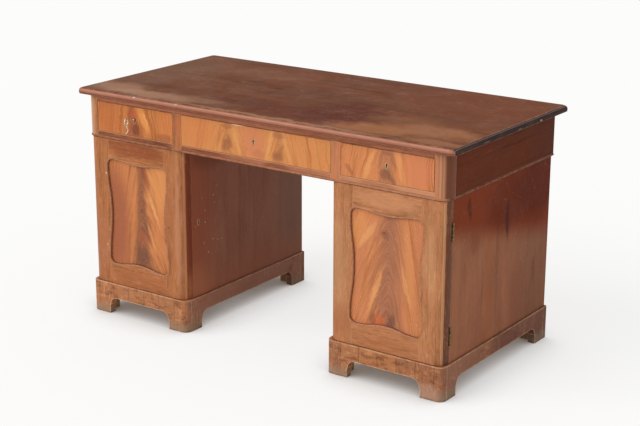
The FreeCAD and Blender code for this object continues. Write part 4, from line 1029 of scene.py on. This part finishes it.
def dress_inside():
    """The bare boards inside and behind, by the way their grain runs."""
    pine = ("#A87F52", "#C29A68", "#D2AE7E")
    sides_and_backs = [f"drawer_{drawer}_sides_and_back" for drawer in DRAWERS]
    bottoms = [f"drawer_{drawer}_bottom" for drawer in DRAWERS]
    boards = [f"pedestal_{side}_{part}" for side in SIDES for part in ("top_and_bottom", "shelf")]
    backs = [f"pedestal_{side}_back" for side in SIDES]
    along_y = raw_wood("bare_pine_along_drawers", "y", pine, 31.0)
    finish(sides_and_backs + ["frieze_partitions", "drawer_guides", "shelf_cleats"], along_y)
    along_x = raw_wood("bare_pine_across", "x", pine, 32.0)
    finish(bottoms + boards + ["drawer_deck", "plinth_bearers", "frieze_back"], along_x)
    along_z = raw_wood("bare_pine_upright", "z", pine, 33.0)
    finish(backs + ["plinth_glue_blocks"], along_z)


# ------------------------ small pieces

# X of the left pedestal's face in the kneehole, and the splashes on it: each one's Y, height and
# width, in millimetres
KNEEHOLE_FACE = -283.4 * MM
SPLASHES = [
    (-174, 436, 3.4), (-167, 410, 2.6), (-232, 439, 2.4), (-218, 394, 2.6),
    (-217, 353, 3.6), (-179, 287, 3.4), (-154, 279, 3.0), (-133, 277, 2.2),
    (-225, 284, 2.4), (-204, 248, 3.2), (-269, 351, 2.8), (-155, 465, 2.2),
]
# a splash's corners, how far it starts inside the face and how thick it is, in millimetres
SPLASH_CORNERS = 9
SPLASH_SUNK = 0.1
SPLASH_THICK = 0.35
# Y of the faces of the hinge leaves, and where their screws sit
CASE_LEAF_FACE = -284.9 * MM
DOOR_LEAF_FACE = -285.4 * MM
HINGE_HEIGHTS = (194 * MM, 513 * MM)
SCREW_OUT = 673.6 * MM
SCREW_STEPS = (-18 * MM, 0, 18 * MM)
SCREW_RADIUS = 3.2 * MM
# half the width of a screw's slot, how far its head stands proud and the flats of half a head
SLOT = 0.5 * MM
PROUD = 0.12 * MM
HEAD_FLATS = 8


def outlines(name, shapes, material, body):
    """One piece from closed outlines, each swept from where it starts to where it ends."""
    points, faces = [], []
    for outline, sweep in shapes:
        base, count = len(points), len(outline)
        points += outline + [point + sweep for point in outline]
        faces += [tuple(range(base, base + count)), tuple(range(base + count, base + 2 * count))]
        for step in range(count):
            after = (step + 1) % count
            faces.append((base + step, base + after, base + count + after, base + count + step))
    mesh = mesh_from(name, points, faces, smooth=False)
    work = bmesh.new()
    work.from_mesh(mesh)
    bmesh.ops.recalc_face_normals(work, faces=work.faces)
    work.to_mesh(mesh)
    work.free()
    return add_piece(name, mesh, body, material)


def splash_paint(material):
    """Old splashes of white paint on the kneehole side of the left pedestal."""
    chance = random.Random(5)
    shapes = []
    for across, height, width in SPLASHES:
        rim = []
        for step in range(SPLASH_CORNERS):
            turn = math.tau * step / SPLASH_CORNERS
            reach = width / 2 * chance.uniform(0.65, 1.15)
            place = (across + reach * math.cos(turn), height + 1.3 * reach * math.sin(turn))
            rim.append(Vector((KNEEHOLE_FACE - SPLASH_SUNK * MM, place[0] * MM, place[1] * MM)))
        shapes.append((rim, Vector((SPLASH_THICK, 0, 0)) * MM))
    outlines("paint_splashes", shapes, material, "desk")


def half_head(middle, turn):
    """Outline of half a round screw head, on one side of its slot."""
    start = math.asin(SLOT / SCREW_RADIUS)
    sweep = (math.pi - 2 * start) / HEAD_FLATS
    turns = [turn + start + sweep * step for step in range(HEAD_FLATS + 1)]
    return [middle + Vector((math.cos(angle), 0, math.sin(angle))) * SCREW_RADIUS for angle in turns]


def screw_hinges(material):
    """Three slotted screws in each hinge leaf, with their heads nearly flush."""
    chance = random.Random(9)
    for side, sign in zip(SIDES, (-1, 1)):
        for leaf, body, face, facing in (
            ("case", "desk", CASE_LEAF_FACE, -1),
            ("door", f"{side}_door", DOOR_LEAF_FACE, 1),
        ):
            shapes = []
            for height in HINGE_HEIGHTS:
                for step in SCREW_STEPS:
                    turn = chance.uniform(0, math.pi)
                    middle = Vector((sign * SCREW_OUT, face - facing * 3 * PROUD, height + step))
                    sweep = Vector((0, facing * 4 * PROUD, 0))
                    shapes += [(half_head(middle, half), sweep) for half in (turn, turn + math.pi)]
            outlines(f"{side}_{leaf}_hinge_screws", shapes, material, body)


# ------------------------ room

FLOOR_TONE = "#FAF8F6"
FLOOR_RADIUS = 16.0
FLOOR_SIDES = 64
FLOOR_GLOW = 0.74
# the shadow round the feet: its tone, its reach, and the openness at which it is full and gone
SHADE_TONE = "#74675E"
SHADE_REACH = 0.22
SHADE_FULL = 0.16
SHADE_GONE = 0.84
LAMP_FROM = Vector((-0.42, -0.66, 0.62))
LAMP_SPREAD = math.radians(50)
LAMP_STRENGTH = 1.7
WORLD_LIGHT = 0.62


def lay_floor():
    """Plain pale floor; it looks nearly white and keeps a soft shadow close round the feet."""
    turns = [math.tau * step / FLOOR_SIDES for step in range(FLOOR_SIDES)]
    rim = [(FLOOR_RADIUS * math.cos(turn), FLOOR_RADIUS * math.sin(turn), 0) for turn in turns]
    mesh = mesh_from("floor", rim, [tuple(range(FLOOR_SIDES))], smooth=False)
    floor = bpy.data.objects.new("floor", mesh)
    bpy.context.scene.collection.objects.link(floor)
    material, tree, _ = new_material("pale_floor")
    lit = add(tree, "BsdfDiffuse", tone(FLOOR_TONE))
    near = add(tree, "AmbientOcclusion", sockets={"Distance": SHADE_REACH}, samples=12).outputs["AO"]
    shade = add(
        tree, "ValToRGB", near, stops=[(SHADE_FULL, tone(SHADE_TONE)), (SHADE_GONE, tone("#FFFFFF"))]
    )
    white = add(tree, "Emission", shade, 1.0)
    seen = add(tree, "LightPath").outputs["Is Camera Ray"]
    share = add(tree, "Math", seen, FLOOR_GLOW, operation="MULTIPLY")
    add(tree, "OutputMaterial", add(tree, "MixShader", share, lit, white))
    mesh.materials.append(material)


def light_room():
    """One broad soft lamp from the front left, and even light from all round."""
    data = bpy.data.lights.new("soft_lamp", "SUN")
    data.angle = LAMP_SPREAD
    data.energy = LAMP_STRENGTH
    lamp = bpy.data.objects.new("soft_lamp", data)
    lamp.rotation_mode = "QUATERNION"
    lamp.rotation_quaternion = (-LAMP_FROM).to_track_quat("-Z", "Y")
    bpy.context.scene.collection.objects.link(lamp)
    world = bpy.data.worlds.new("room")
    bpy.context.scene.world = world
    world.use_nodes = True
    tree = world.node_tree
    tree.nodes.clear()
    rays = add(tree, "LightPath").outputs
    seen = add(tree, "Math", rays["Is Camera Ray"], rays["Is Glossy Ray"], operation="MAXIMUM")
    seen = add(tree, "Math", seen, rays["Is Transmission Ray"], operation="MAXIMUM")
    strength = add(tree, "MapRange", seen, 0.0, 1.0, WORLD_LIGHT, 1.0)
    background = add(tree, "Background", (1.0, 1.0, 1.0, 1.0), strength)
    add(tree, "OutputWorld", background)
    bpy.context.scene.view_settings.view_transform = "Standard"


# ------------------------ the whole scene

set_camera()
hang_string(cotton_string())
dress_top()
dress_doors()
dress_frieze()
dress_pedestals()
dress_flames()
dress_fittings()
dress_inside()
ease(["drawer_key"] + [f"door_{side}_{part}" for side in SIDES for part in ("stiles", "bead")])
splash_paint(dried_paint())
screw_hinges(aged_brass("brass_screws_brown_with_age", "#3A2E1C", "#8A7448", (0.35, 0.55)))
lay_floor()
light_room()
